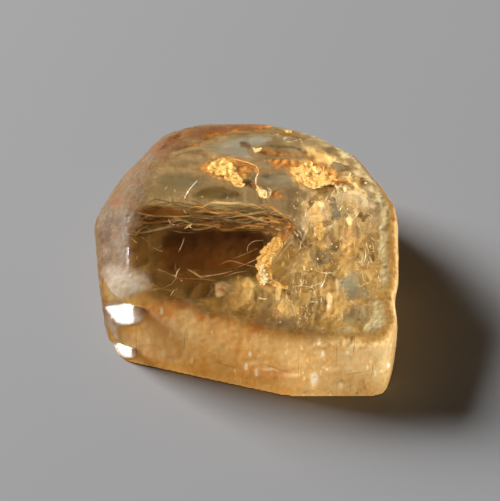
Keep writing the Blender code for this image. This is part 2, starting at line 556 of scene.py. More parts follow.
# %% Skin: back into its mesh
KEPT = {
    "frost": frost, "resting": resting, "polish": polish, "pale": pale, "rusty": rusty, "dusky": dusky,
    "sunny": sunny, "lit": lit, "rim": rim, "rear": rear,
}
skin.data.vertices.foreach_set("co", (moved * MM).ravel())
for name, values in KEPT.items():
    skin.data.attributes.new(name, "FLOAT", "POINT").data.foreach_set("value", values)
skin.data.update()
skin.data.polygons.foreach_set("use_smooth", [True] * len(skin.data.polygons))
print("the skin carries", ", ".join(KEPT))

# %% [markdown]
# The colour of frost is mixed in layers. Where the lamp falls it is a sugary brown, brushed with
# streaks, and on the sides away from the lamp a plain gold: lit and shaded copies of one frost, so
# light and shade are painted in. Over that come the painted sunny gold, the painted crease shade,
# the pale frost with its painted sheen and the rusty tones, and last painted glint specks and dark
# flecks. The underside has two colours of its own.

# %% Skin: the colour of its frost
SHOULDER_COMPASS = 62
SUGAR_STEP = (0.38, 0.62)
BRUSHING = 0.7
RUST_COVER = 0.8
SPECK_COVER = 0.5
BROWN = ((0.14, 0.08, 0.033), (0.12, 0.088, 0.053))
TAN = ((0.24, 0.145, 0.066), (0.215, 0.165, 0.105))
# Painted light and shade: the gold of frost turned away from the lamp, next to the brown of lit frost, and
# the painted sunny gold.
SHADED_GOLD = (0.50, 0.34, 0.15)
SUNNY_GOLD = ((0.82, 0.56, 0.21), (1.0, 0.82, 0.42))
# Painted crease shade colour.
CREASE_SHADE_COLOUR = (0.06, 0.038, 0.02)
PALE_FROST_SHEEN = (0.58, 0.50, 0.40)
RUST = (0.25, 0.095, 0.035)
# Painted glint specks.
GLINT_SPECK = (0.85, 0.76, 0.62)
DARK_FLECK = (0.10, 0.06, 0.03)
BASE_REAR = ((0.38, 0.335, 0.235), (0.62, 0.565, 0.44))
BASE_FRONT = ((0.46, 0.33, 0.10), (0.74, 0.57, 0.24))


def wall_colour(recipe, tone, cloud, sugar, specks, pits):
    """The colour of the frosted walls, with light and shade painted in."""
    streaks = recipe.noise(recipe.along(SHOULDER_COMPASS, 5), 5, 4, 0.65)
    drift = cloud.between(0.40, 0.60)
    brushed = (sugar + tone["lit"] * BRUSHING * (streaks - sugar)).between(*SUGAR_STEP)
    colour = recipe.blend(brushed, recipe.blend(drift, *BROWN), recipe.blend(drift, *TAN))
    # Painted light and shade: lit and shaded copies of one frost, then the painted sunny gold.
    colour = recipe.blend(tone["lit"], SHADED_GOLD, colour)
    colour = recipe.blend(tone["sunny"], colour, recipe.blend(brushed, *SUNNY_GOLD))
    # Painted crease shade.
    colour = recipe.blend(tone["dusky"], colour, CREASE_SHADE_COLOUR)
    # Pale frost with painted sheen.
    colour = recipe.blend(tone["pale"], colour, PALE_FROST_SHEEN)
    colour = recipe.blend(tone["rusty"] * RUST_COVER, colour, RUST)
    # Painted glint specks.
    colour = recipe.blend(SPECK_COVER * specks, colour, GLINT_SPECK)
    return recipe.blend(SPECK_COVER * pits, colour, DARK_FLECK)


def base_colour(recipe, tone):
    """The colour of the underside."""
    mottle = recipe.noise(recipe.place(), 1.3, 4, 0.6).between(0.35, 0.65)
    return recipe.blend(tone["rear"], recipe.blend(mottle, *BASE_FRONT), recipe.blend(mottle, *BASE_REAR))


print("pits are", DARK_FLECK, "and specks are", GLINT_SPECK)

# %% [markdown]
# Real frost is a skin of tiny facets. It throws back part of the light, and it lets the rest through
# softly, which is why the side away from the lamp glows. A Principled shader does the first, and
# Translucent ones in a few colours the second. Two tables say how much each tone changes the share
# of the glow, and how light it is. Most of their entries paint light: more and lighter glow at the
# painted sunny side, rim, sheen and glint specks, and less glow where the frost faces the lamp.

# %% Skin: frost
TOPAZ_IOR = 1.62
DEEP_GLOW = (0.92, 0.56, 0.19)
LIGHT_GLOW = (1.0, 0.84, 0.47)
RED_GLOW = (0.80, 0.30, 0.07)
# The last glow colour is a painted sheen for the pale patches.
WHITE_SHEEN_GLOW = (1.0, 0.97, 0.9)
GLOW_PATTERN = 0.5
# Painted light: how much lighter the glow is at the sunny side, pale sheen, glint specks and rim.
LIGHTER = {"sunny": 0.1, "pale": 0.5, "specks": 0.8, "rim": 0.4}
GLOW = 0.84
# Painted light: more glow at the rim, sheen and glint specks, and less where the frost faces the lamp.
MORE_GLOW = {
    "resting": -0.74, "polish": -0.2, "lit": -0.54, "sunny": -0.42, "specks": 0.3, "pits": -0.25,
    "pale": 0.2, "rim": 0.5,
}


def weighted(start, weights, wires):
    """A start plus each named wire times its weight."""
    for name, weight in weights.items():
        start = start + weight * wires[name]
    return start


def soft_glow(recipe, tone, lightness):
    """Light that comes through frost, deeper or lighter, redder in rust, and a painted pale sheen in the
    pale patches.
    """
    deep, light, red, white = (
        recipe.add("ShaderNodeBsdfTranslucent", None, {"Color": colour})
        for colour in (DEEP_GLOW, LIGHT_GLOW, RED_GLOW, WHITE_SHEEN_GLOW)
    )
    glow = recipe.mix(tone["rusty"] * RUST_COVER, recipe.mix(lightness, deep, light), red)
    # Painted sheen: the glow turns pale in the pale patches.
    return recipe.mix(tone["pale"].between(0.6, 1.0), glow, white)


def frosted(recipe, tone):
    """A skin of tiny facets that mirrors part of the light and glows with the rest."""
    cloud = recipe.noise(recipe.place((1, 1, 0.7)), 0.9, 5, 0.6)
    bands = recipe.noise(recipe.place((1, 1, 0.08)), 1.6, 3, 0.6)
    sugar = recipe.noise(recipe.place((1, 1, 0.6)), 6, 4, 0.65)
    # Painted glints: small pale specks in the frost, fewer where the lamp falls.
    specks = recipe.noise(recipe.place((1, 1, 0.4)), 8, 3, 0.6).between(0.60, 0.72)
    specks = specks * (1 - 0.6 * tone["lit"])
    # Small dark flecks in the frost, with less glow.
    pits = recipe.noise(recipe.place((1, 1, 0.5)), 2.6, 4, 0.65).between(0.56, 0.75)
    walls = wall_colour(recipe, tone, cloud, sugar, specks, pits)
    sockets = {
        "Base Color": recipe.blend(tone["resting"], walls, base_colour(recipe, tone)),
        "Roughness": 0.5 - 0.40 * tone["polish"],
        "IOR": TOPAZ_IOR,
        "Specular IOR Level": 0.2,
        "Normal": recipe.bump(sugar * (1 - tone["polish"]), 0.06, 0.8),
    }
    dull = recipe.add("ShaderNodeBsdfPrincipled", None, sockets)
    parts = {**tone, "specks": specks, "pits": pits, "rim": tone["rim"] * sugar.between(0.25, 0.60)}
    pattern = (0.40 * cloud + 0.35 * sugar + 0.25 * bands).between(0.41, 0.59)
    glow = soft_glow(recipe, tone, weighted(GLOW_PATTERN * pattern, LIGHTER, parts))
    return recipe.mix(weighted(GLOW, MORE_GLOW, parts), dull, glow)


print("topaz bends light with an index of", TOPAZ_IOR)

# %% [markdown]
# The clear window is plain glass, and a Volume Absorption makes the body yellower where light goes
# further through it. Cycles doesn't send lamp light through bent glass, so a ray that looks for the
# lamp meets a plain Transparent shader instead. Such a ray runs from the lit place back to the lamp.
# So where it meets the skin from inside, light is coming in, and frost halves it. Where it meets the
# skin from outside, light would be leaving, and frost lets next to none out.

# %% Skin: clear glass, and light from the lamp
CLEAR = (1.0, 1.0, 1.0)
LET_IN = (0.50, 0.43, 0.32)
LET_OUT = (0.04, 0.028, 0.018)
BODY = {"Color": (0.92, 0.81, 0.60), "Density": 120.0}
GLASS = {"Base Color": CLEAR, "Roughness": 0.0, "IOR": TOPAZ_IOR, "Transmission Weight": 1.0}


def lamp_light(recipe, frost):
    """What a ray that looks for the lamp meets."""
    opening, leaving, coming = (
        recipe.add("ShaderNodeBsdfTransparent", None, {"Color": colour})
        for colour in (CLEAR, LET_OUT, LET_IN)
    )
    from_inside = recipe.add("ShaderNodeNewGeometry", None, None, "Backfacing")
    return recipe.mix(frost, opening, recipe.mix(from_inside, leaving, coming))


def topaz_skin():
    """Frost over clear glass, with a body that yellows light."""
    recipe = Recipe("topaz_skin")
    tone = {name: recipe.attribute(name) for name in KEPT}
    clear = recipe.add("ShaderNodeBsdfPrincipled", None, GLASS)
    seen = recipe.mix(tone["frost"], clear, frosted(recipe, tone))
    looks_for_lamp = recipe.add("ShaderNodeLightPath", None, None, "Is Shadow Ray")
    surface = recipe.mix(looks_for_lamp, seen, lamp_light(recipe, tone["frost"]))
    return recipe.finish(surface, recipe.add("ShaderNodeVolumeAbsorption", None, BODY))


skin.data.materials.clear()
skin.data.materials.append(topaz_skin())
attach(skin, "root")
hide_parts("topaz_crystal")
print("the skin's material has", len(skin.data.materials[0].node_tree.nodes), "nodes")

# %% [markdown]
# Flaws inside the stone are drawn on the drawing plane, as the eye sees them, and then sunk. A line
# of sight bends where it enters the crystal, so each point goes down along the bent line. Seen from
# the camera the flaw stays where it was drawn, and from any other side it lies at its own depth.

# %% Sinking a drawing into the stone
SKIN_MARGIN = 0.1
RAY_START = 0.05
NO_WALL_ROOM = 1.0


def entry_at(x, y):
    """Where the line of sight through a drawn point meets the stone, and the normal there."""
    sight = sight_through(x, y)
    hit, _, face, _ = smooth_skin.ray_cast(EYE, sight)
    if hit is None:
        return None
    corners = skin_faces[face]
    shares = poly_3d_calc([Vector(points[corner]) for corner in corners], hit)
    normal = Vector()
    for corner, share in zip(corners, shares):
        normal += smooth_normals[corner] * share
    return hit, normal.normalized(), sight


def sealed(x, y, depth):
    """The point at a depth below a drawn point. A negative depth lifts it off the stone's skin."""
    entry = entry_at(x, y)
    if entry is None:
        return None
    hit, normal, sight = entry
    if depth < 0:
        return hit - normal * depth
    share = 1 / TOPAZ_IOR
    facing = -sight.dot(normal)
    bend = share * facing - math.sqrt(1 - share * share * (1 - facing * facing))
    bent = (sight * share + normal * bend).normalized()
    return hit + bent * min(depth, room(hit, bent) - SKIN_MARGIN)


def room(start, way):
    """How far it is from a point on the skin, through the stone, to the skin on the other side."""
    hit = smooth_skin.ray_cast(start + way * RAY_START, way)[0]
    return (hit - start).length if hit else NO_WALL_ROOM


print("1 mm below the middle of the top:", [round(c, 2) for c in sealed(0, 0, 1)])

# %% [markdown]
# Iron and clay leave their colours in a crystal. They are named here once, because every flaw
# inside the stone wears one of them: first the browns and golds, then the greys of clay, and last
# the bright colours of splits that hold air. The deepest brown paints the shade of the stone's dark
# heart, and the glint colour paints glints on needles, edges and sparks.

# %% Stains
STAINS = {
    # Painted shade for the stone's dark heart.
    "smoke": (0.17, 0.062, 0.004),
    "umber": (0.16, 0.080, 0.014),
    "dusk": (0.12, 0.080, 0.022),
    "olive": (0.24, 0.165, 0.06),
    "rust": (0.27, 0.09, 0.028),
    "amber": (0.34, 0.145, 0.032),
    "orange": (0.50, 0.20, 0.035),
    "rustgold": (0.60, 0.28, 0.06),
    "tawny": (0.48, 0.30, 0.13),
    "honey": (0.60, 0.43, 0.185),
    "pale_honey": (0.72, 0.60, 0.41),
    "slate": (0.21, 0.175, 0.11),
    "grey_green": (0.26, 0.235, 0.155),
    "pale": (0.48, 0.50, 0.47),
    "flake": (1.0, 0.62, 0.16),
    "gold": (0.95, 0.64, 0.19),
    "pale_gold": (0.98, 0.78, 0.36),
    "straw": (0.75, 0.64, 0.36),
    # Painted glint colour for needles, edges and sparks.
    "white": (0.92, 0.88, 0.68),
    "blaze": (1.0, 0.86, 0.46),
}
print(len(STAINS), "stains")

# %% [markdown]
# Nearly every flaw is a thin sheet: a healed fracture, a film stained by iron, or a split that
# glitters because it holds air. A sheet starts as a flat grid over its drawn outline. The grid's
# points outside the outline go, and the others are sunk along their lines of sight, crinkled by
# noise. Each point keeps its stain and how solid it is there, which fades towards the rim.

# %% A flat grid over an outline
FEWEST_CELLS = 3


def new_flaws():
    """An empty mesh under construction, whose points carry a stain and how solid they are."""
    shape = bmesh.new()
    shape.verts.layers.float_color.new("stain")
    shape.verts.layers.float.new("solid")
    return shape


def mark(shape, vert, stain, solid):
    """Gives a point its stain and how solid it is."""
    vert[shape.verts.layers.float_color["stain"]] = (*STAINS[stain], 1)
    vert[shape.verts.layers.float["solid"]] = solid


def box_round(outline):
    """The lowest and the highest corner of the box round an outline."""
    low = Vector((min(p.x for p in outline), min(p.y for p in outline)))
    high = Vector((max(p.x for p in outline), max(p.y for p in outline)))
    return low, high


def flat_grid(shape, outline, net):
    """A flat grid over an outline, and how far inside it each of the grid's points is."""
    low, high = box_round(outline)
    wide, tall = high - low
    middle = Matrix.Translation(((low.x + high.x) / 2, (low.y + high.y) / 2, 0))
    columns, rows = (max(FEWEST_CELLS, round(length / net)) for length in (wide, tall))
    stretch = middle @ Matrix.Diagonal((wide, tall, 1, 1))
    made = bmesh.ops.create_grid(shape, x_segments=columns, y_segments=rows, size=0.5, matrix=stretch)
    verts = made["verts"]
    return verts, rim_distance([(v.co.x, v.co.y) for v in verts], outline)


trial = new_flaws()
print("a trial grid over a small square has", len(flat_grid(trial, smooth_loop(square), 0.5)[0]), "points")
trial.free()

# %% [markdown]
# Two kinds of noise keep a sheet from looking cut out: one folds it like crushed foil, and the other
# tears its rim. A least depth keeps the folds under the skin. The tables that follow hold one sheet
# in each row: its stain, how solid it is, how wide its soft rim is, its depth, how much it crinkles,
# and its drawn outline. All lengths in them are in millimetres.

# %% Sheets
SHALLOWEST = 0.1
SPARE_NET = 0.6
TEARS = 4
FINER_FOLDS = 2.3
ANOTHER_SEED = 5


def crumpled(x, y, fold, seed):
    """Noise from about -1 to 1 with sharp folds, as in a crushed foil."""
    large = noise.noise(Vector((x / fold, y / fold, seed)))
    small = noise.noise(Vector((FINER_FOLDS * x / fold, FINER_FOLDS * y / fold, seed + ANOTHER_SEED)))
    return 1 - 2.6 * abs(large) + 0.8 * abs(small)


def sheet(shape, outline, depth, stain, body, fade, crinkle, fold, net, seed, torn, steps=4):
    """Adds one sheet inside a drawn outline, sunk to a depth."""
    verts, inside = flat_grid(shape, smooth_loop(outline, steps), net)
    inside += [torn * noise.noise(Vector((v.co.x * TEARS, v.co.y * TEARS, seed))) for v in verts]
    reaches = dict(zip(verts, inside))
    outer = [vert for vert in verts if reaches[vert] < -SPARE_NET * net]
    kept = [vert for vert in verts if reaches[vert] >= -SPARE_NET * net]
    bmesh.ops.delete(shape, geom=outer, context="VERTS")
    for vert in kept:
        x, y = vert.co.x, vert.co.y
        place = sealed(x, y, max(depth + crinkle * crumpled(x, y, fold, seed), SHALLOWEST))
        if place is None:
            shape.verts.remove(vert)
            continue
        vert.co = place
        share = min(max(reaches[vert] / fade, 0), 1)
        mark(shape, vert, stain, body * share * share * (3 - 2 * share))


def add_sheets(shape, rows, fold, net, torn=0.06, softer=0.0, flatter=1.0):
    """Adds a sheet for each row of a table. Folds, net and tears are the same for all of them."""
    for seed, (stain, body, fade, depth, crinkle, outline) in enumerate(rows):
        sheet(shape, outline, depth, stain, body, softer + fade, flatter * crinkle, fold, net, seed, torn)


print("the least depth of a sheet's folds is", SHALLOWEST, "mm")

# %% [markdown]
# Needles, cracks and the bright edges of fractures are thin lines. A thread is a strip one cell
# wide along a drawn line, widest in the middle, and each of its points is sunk as a sheet's are.
# Points whose line of sight misses the stone are left out. A row of a table of threads gives a
# stain, a width, a depth and the line's points.

# %% Threads
SHALLOWEST_THREAD = 0.08
BLUNT_END = 0.04
PLUMPNESS = 0.7
KINKS = 3
LINE_STEPS = 12


def thread(shape, line, depth, stain, width, steps, crinkle=0.03, seed=0, solid=1.0):
    """Adds a thin strip along a drawn line. It is widest in the middle and ends in points."""
    path = smooth_line(line, steps + 1)
    made = bmesh.ops.create_grid(shape, x_segments=steps, y_segments=1, size=1)["verts"]
    for vert in made:
        along, side = (vert.co.x + 1) / 2, vert.co.y
        step = min(int(along * steps + 0.5), steps)
        way = (path[min(step + 1, steps)] - path[max(step - 1, 0)]).normalized()
        swell = math.sin(math.pi * (BLUNT_END + (1 - 2 * BLUNT_END) * along)) ** PLUMPNESS
        spot = path[step] + Vector((-way.y, way.x)) * side * width / 2 * swell
        sink = depth + crinkle * noise.noise(Vector((spot.x * KINKS, spot.y * KINKS, seed)))
        place = sealed(spot.x, spot.y, sink if depth < 0 else max(sink, SHALLOWEST_THREAD))
        if place is None:
            shape.verts.remove(vert)
            continue
        vert.co = place
        mark(shape, vert, stain, solid)


def add_threads(shape, rows, crinkle=0.03, solid=1.0):
    """Adds a thread for each row of a table."""
    for seed, (stain, width, depth, line) in enumerate(rows):
        thread(shape, line, depth, stain, width, LINE_STEPS, crinkle, seed, solid)


print("the least depth of a thread inside the stone is", SHALLOWEST_THREAD, "mm")

# %% [markdown]
# A finished mesh is triangulated and scaled to metres, and then it becomes one piece that rides on
# the stone. Many flaws are too small to draw one by one. They are strewn at random places inside an
# outline, by a generator with a seed, so that every run gives the same stone.

# %% Finishing a piece, and random places
def seal_in(name, shape, material, smooth=True):
    """Turns drawn flaws into one piece inside the stone."""
    bmesh.ops.triangulate(shape, faces=shape.faces)
    bmesh.ops.scale(shape, vec=(MM, MM, MM), verts=shape.verts)
    piece = in_scene(name, shape)
    piece.data.materials.append(material)
    piece.data.polygons.foreach_set("use_smooth", [smooth] * len(piece.data.polygons))
    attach(piece, "root")
    print(name, "has", len(piece.data.polygons), "faces")


def random_inside(outline, dice):
    """A random drawn point inside an outline."""
    low, high = box_round(outline)
    while True:
        x, y = dice.uniform(low.x, high.x), dice.uniform(low.y, high.y)
        if rim_distance([(x, y)], outline)[0] > 0:
            return x, y


CRACKLED = smooth_loop([
    (2.2, 3.9), (3.9, 3.6), (5.2, 2.2), (5.6, 0), (5.5, -2.1), (4.2, -3.3), (1.6, -3.2), (0.9, -1.6),
    (1.6, 0.2), (1.9, 2.2),
])
print("small flaws are strewn inside an outline of", len(CRACKLED), "points")

# %% [markdown]
# A stain is dull, and it hides what is behind it only where it is thick. So its material mixes a
# rough Principled shader with a Transparent one, by the stored solidness times noise. Noise also
# shades the stain, and in healed veils each cell of a bent Voronoi pattern has its own tone.

# %% Material of stains
LIGHTEST = 1.15
WARMER = (1.0, 0.92, 0.75)
COOLER = (0.92, 0.97, 1.0)
DARK_CELL = (0.72, 0.68, 0.60)
LIGHT_CELL = (1.55, 1.47, 1.30)


def stained(name, streak, scale, dark, holes, facets=0.0, detail=5):
    """A sheet of one stain, mottled by noise, that shows what is behind it where it thins out."""
    recipe = Recipe(name)
    streaks = recipe.noise(recipe.place(streak), scale, detail, 0.6)
    shade = recipe.blend(streaks.between(0.3, 0.65), (dark,) * 3, (LIGHTEST,) * 3)
    drift = recipe.noise(recipe.place(streak), 0.6 * scale, 2).between(0.35, 0.65)
    colour = recipe.tint(recipe.attribute("stain", "Color"), shade)
    colour = recipe.tint(colour, recipe.blend(drift, WARMER, COOLER))
    if facets:
        pattern = {"Vector": recipe.warped(), "Scale": facets}
        cell = recipe.add("ShaderNodeTexVoronoi", None, pattern, "Color")
        colour = recipe.tint(colour, recipe.blend(cell.between(0.3, 0.7), DARK_CELL, LIGHT_CELL))
    relief = recipe.bump(streaks, 0.02)
    sockets = {"Base Color": colour, "Roughness": 0.6, "Specular IOR Level": 0.1, "Normal": relief}
    film = recipe.add("ShaderNodeBsdfPrincipled", None, sockets)
    gaps = recipe.noise(recipe.place(streak), 1.4 * scale, detail - 1)
    solid = recipe.attribute("solid") * gaps.between(*holes)
    return recipe.finish(recipe.mix(solid, recipe.add("ShaderNodeBsdfTransparent"), film))


# The core's material; most of its dark sheets paint shade.
CORE_SHADE_MATERIAL = stained("core_with_painted_shade", streak=(0.3, 1, 1), scale=1.5, dark=0.85, holes=(0.1, 0.3))
FILM = stained("stained_film", streak=(0.4, 1, 1), scale=3.0, dark=0.5, holes=(0.12, 0.42))
VEIL = stained("healed_veil", (1, 0.5, 0.5), scale=1.5, dark=0.7, holes=(0.1, 0.5), facets=1.0, detail=4)
print("stain materials:", CORE_SHADE_MATERIAL.name, FILM.name, VEIL.name)

# %% [markdown]
# A split that holds air mirrors light like crushed gold foil. Its shader is partly metallic, with
# a fine bump, and noise breaks it into flakes where the sheet isn't solid. The same recipe with no
# holes and deeper relief makes the bright threads.

# %% Material of foil
COPPERY = (1.0, 0.7, 0.4)
UNTINTED = (1, 1, 1)


def glittering(name, scale, dark, metallic, roughness, holes, relief):
    """A split that holds air: it mirrors light like crushed foil, and breaks up into flakes."""
    recipe = Recipe(name)
    mottle = recipe.noise(recipe.place(), scale, 4, 0.6)
    hollow = tuple(dark * share for share in COPPERY)
    shade = recipe.blend(mottle.between(0.35, 0.6), hollow, UNTINTED)
    colour = recipe.tint(recipe.attribute("stain", "Color"), shade)
    tilt = recipe.bump(mottle, relief)
    sockets = {"Base Color": colour, "Metallic": metallic, "Roughness": roughness, "Normal": tilt}
    foil = recipe.add("ShaderNodeBsdfPrincipled", None, sockets)
    solid = recipe.attribute("solid")
    flakes = solid + recipe.noise(recipe.place(), 0.3 * scale, 5, 0.65).between(*holes) - 0.5
    cover = flakes.between(0.05, 0.85) * solid.between(0.0, 0.25)
    return recipe.finish(recipe.mix(cover, recipe.add("ShaderNodeBsdfTransparent"), foil))


FOIL = glittering("gold_foil", 13.0, 0.6, metallic=0.3, roughness=0.45, holes=(0.38, 0.52), relief=0.03)
BRIGHT = glittering("bright_thread", 5.0, 0.8, metallic=0.2, roughness=0.3, holes=(0.0, 0.01), relief=0.08)
print("foil materials:", FOIL.name, BRIGHT.name)

# %% [markdown]
# Crazing is a net of hair-fine cracks, far too many to model one by one. The distance to the
# nearest edge of a Voronoi pattern gives lines, noise breaks them, and the rest is transparent.

# %% Material of crazing
def crazed(name, scale, width, share):
    """Hair-fine bright lines between the cells of a crackle, broken where noise is low."""
    recipe = Recipe(name)
    pattern = {"Vector": recipe.warped(), "Scale": scale}
    cells = recipe.add("ShaderNodeTexVoronoi", {"feature": "DISTANCE_TO_EDGE"}, pattern)
    line = 1 - cells.between(0.3 * width, width)
    patch = recipe.noise(recipe.place(), 0.8 * scale, 3).between(*share)
    sockets = {"Base Color": recipe.attribute("stain", "Color"), "Roughness": 0.4}
    thin = recipe.add("ShaderNodeBsdfPrincipled", None, sockets)
    open_part = recipe.add("ShaderNodeBsdfTransparent")
    return recipe.finish(recipe.mix(line * patch * recipe.attribute("solid"), open_part, thin))


CRAZE = crazed("crazing", scale=1.0, width=0.03, share=(0.45, 0.62))
print("crazing material:", CRAZE.name)

# %% [markdown]
# The heart of this stone looks dark brown, because light that goes deep comes back last and brownest.
# Here that shade is painted: soft dark sheets above each other stand in for it, and three paler ones
# further back are milky places. They need only a coarse net and wide folds.

# %% The dark core, with painted shade
# The hazes, the dark heart and its foot paint the shade in the heart of the stone.
CORE = [
    # Brown haze left of the core
    ("umber", 0.7, 0.25, 1.9, 0.05, [
        (-5.75, 0.6), (-5.2, 1.05), (-4.45, 1.05), (-4.25, 0.2), (-4.35, -0.65), (-4.95, -0.85),
        (-5.45, -0.5)
    ]),
    # Brown haze in front of the core
    ("umber", 0.65, 0.35, 1.8, 0.05, [
        (-4.8, -0.85), (-3.4, -1), (-1.6, -1.1), (-0.75, -1.45), (-1.05, -2.1), (-2.3, -2.3),
        (-3.7, -2.05), (-4.45, -1.6)
    ]),
    # The wide brown haze round the core
    ("umber", 0.75, 0.55, 2.5, 0.05, [
        (-5.65, 0), (-5.15, 1.05), (-4.2, 1.55), (-2.55, 1.65), (-0.45, 1.45), (1.1, 1.05), (1.6, 0.45),
        (1.1, -0.5), (0.5, -1.45), (-0.75, -2.1), (-2.15, -2.25), (-3.65, -2), (-4.8, -1.4),
        (-5.4, -0.65)
    ]),
    # The dark heart, painted shade
    ("smoke", 0.97, 0.8, 2.1, 0.05, [
        (-4.35, -0.15), (-4.25, 0.7), (-3.85, 1.2), (-2.15, 1.45), (-0.25, 1.45), (0.85, 1.2),
        (1.2, 0.2), (0.75, -0.85), (-0.45, -1.2), (-1.9, -1.45), (-3.4, -1.45), (-4.2, -0.9)
    ]),
    # Its foot towards the front
    ("umber", 0.85, 0.3, 1.8, 0.05, [
        (-3.15, -0.9), (-2.15, -1.1), (-1.45, -1.25), (-1.55, -2.05), (-2.3, -2.25), (-2.9, -2)
    ]),
    # A shelf low on the left
    ("umber", 0.6, 0.15, 1.0, 0.03, [
        (-5.55, -0.9), (-4.7, -0.85), (-3.85, -0.9), (-3.35, -1.2), (-3.85, -1.3), (-4.7, -1.2),
        (-5.3, -1.1)
    ]),
    # The band behind the core
    ("umber", 0.85, 0.3, 1.7, 0.05, [
        (-5.55, 1.05), (-4.95, 1.65), (-4, 1.9), (-2.15, 1.9), (0, 1.8), (1.45, 1.45), (1.9, 1.15),
        (0.85, 0.8), (-1.3, 0.8), (-3.85, 0.8), (-5.15, 0.6)
    ]),
    # Its olive top
    ("olive", 0.75, 0.25, 1.2, 0.05, [
        (-5.15, 1.55), (-3.85, 2.05), (-1.7, 2.1), (0.45, 2.05), (1.55, 1.65), (0.85, 1.45),
        (-1.3, 1.65), (-3.85, 1.55), (-4.8, 1.3)
    ]),
    # The dark left part of the band
    ("smoke", 0.85, 0.12, 0.9, 0.02, [
        (-5.55, 1.45), (-5.2, 1.75), (-4.7, 1.95), (-3.85, 1.95), (-3.25, 1.85), (-2.75, 1.65),
        (-2.75, 1.35), (-3.25, 1.2), (-3.95, 1.35), (-4.55, 1.35), (-5.15, 1.25), (-5.5, 1.15)
    ]),
    # A darker fold below it
    ("umber", 0.85, 0.12, 0.8, 0.02, [
        (-5.3, 0.9), (-4.7, 1.05), (-4, 1.2), (-3.4, 1.15), (-2.8, 1.05), (-3.1, 0.85), (-3.85, 0.8),
        (-4.6, 0.6), (-5.2, 0.55)
    ]),
    # A milky place at the rear
    ("pale", 0.95, 0.25, 1.9, 0.02, [
        (-2.15, 4.3), (-1.45, 4.7), (-0.6, 4.9), (0.5, 5.05), (1.05, 4.8), (0.5, 4.45), (0, 4.3),
        (0.25, 3.9), (-0.5, 3.9), (-1.55, 4.05)
    ]),
    # One on the left
    ("grey_green", 0.8, 0.35, 2.0, 0.02, [
        (-3.95, 3.35), (-3.1, 3.45), (-2.05, 3.1), (-1.9, 2.65), (-2.75, 2.3), (-3.7, 2.05), (-4.2, 2.5)
    ]),
    # A greener one at the rear right
    ("slate", 0.85, 0.25, 1.5, 0.02, [
        (0.45, 3.3), (1.6, 3.4), (2.15, 2.95), (2.25, 2.65), (1.3, 2.6), (0.6, 2.75)
    ]),
]
COARSE_NET = 0.08
WIDE_FOLDS = 0.8
core = new_flaws()
add_sheets(core, CORE, WIDE_FOLDS, COARSE_NET)
seal_in("core_with_painted_shade", core, CORE_SHADE_MATERIAL)

# %% [markdown]
# Iron has crept into old fractures near the rear rim, and left thin films there from orange to
# nearly black. They lie at many depths, so that they slide over each other when the stone is turned.

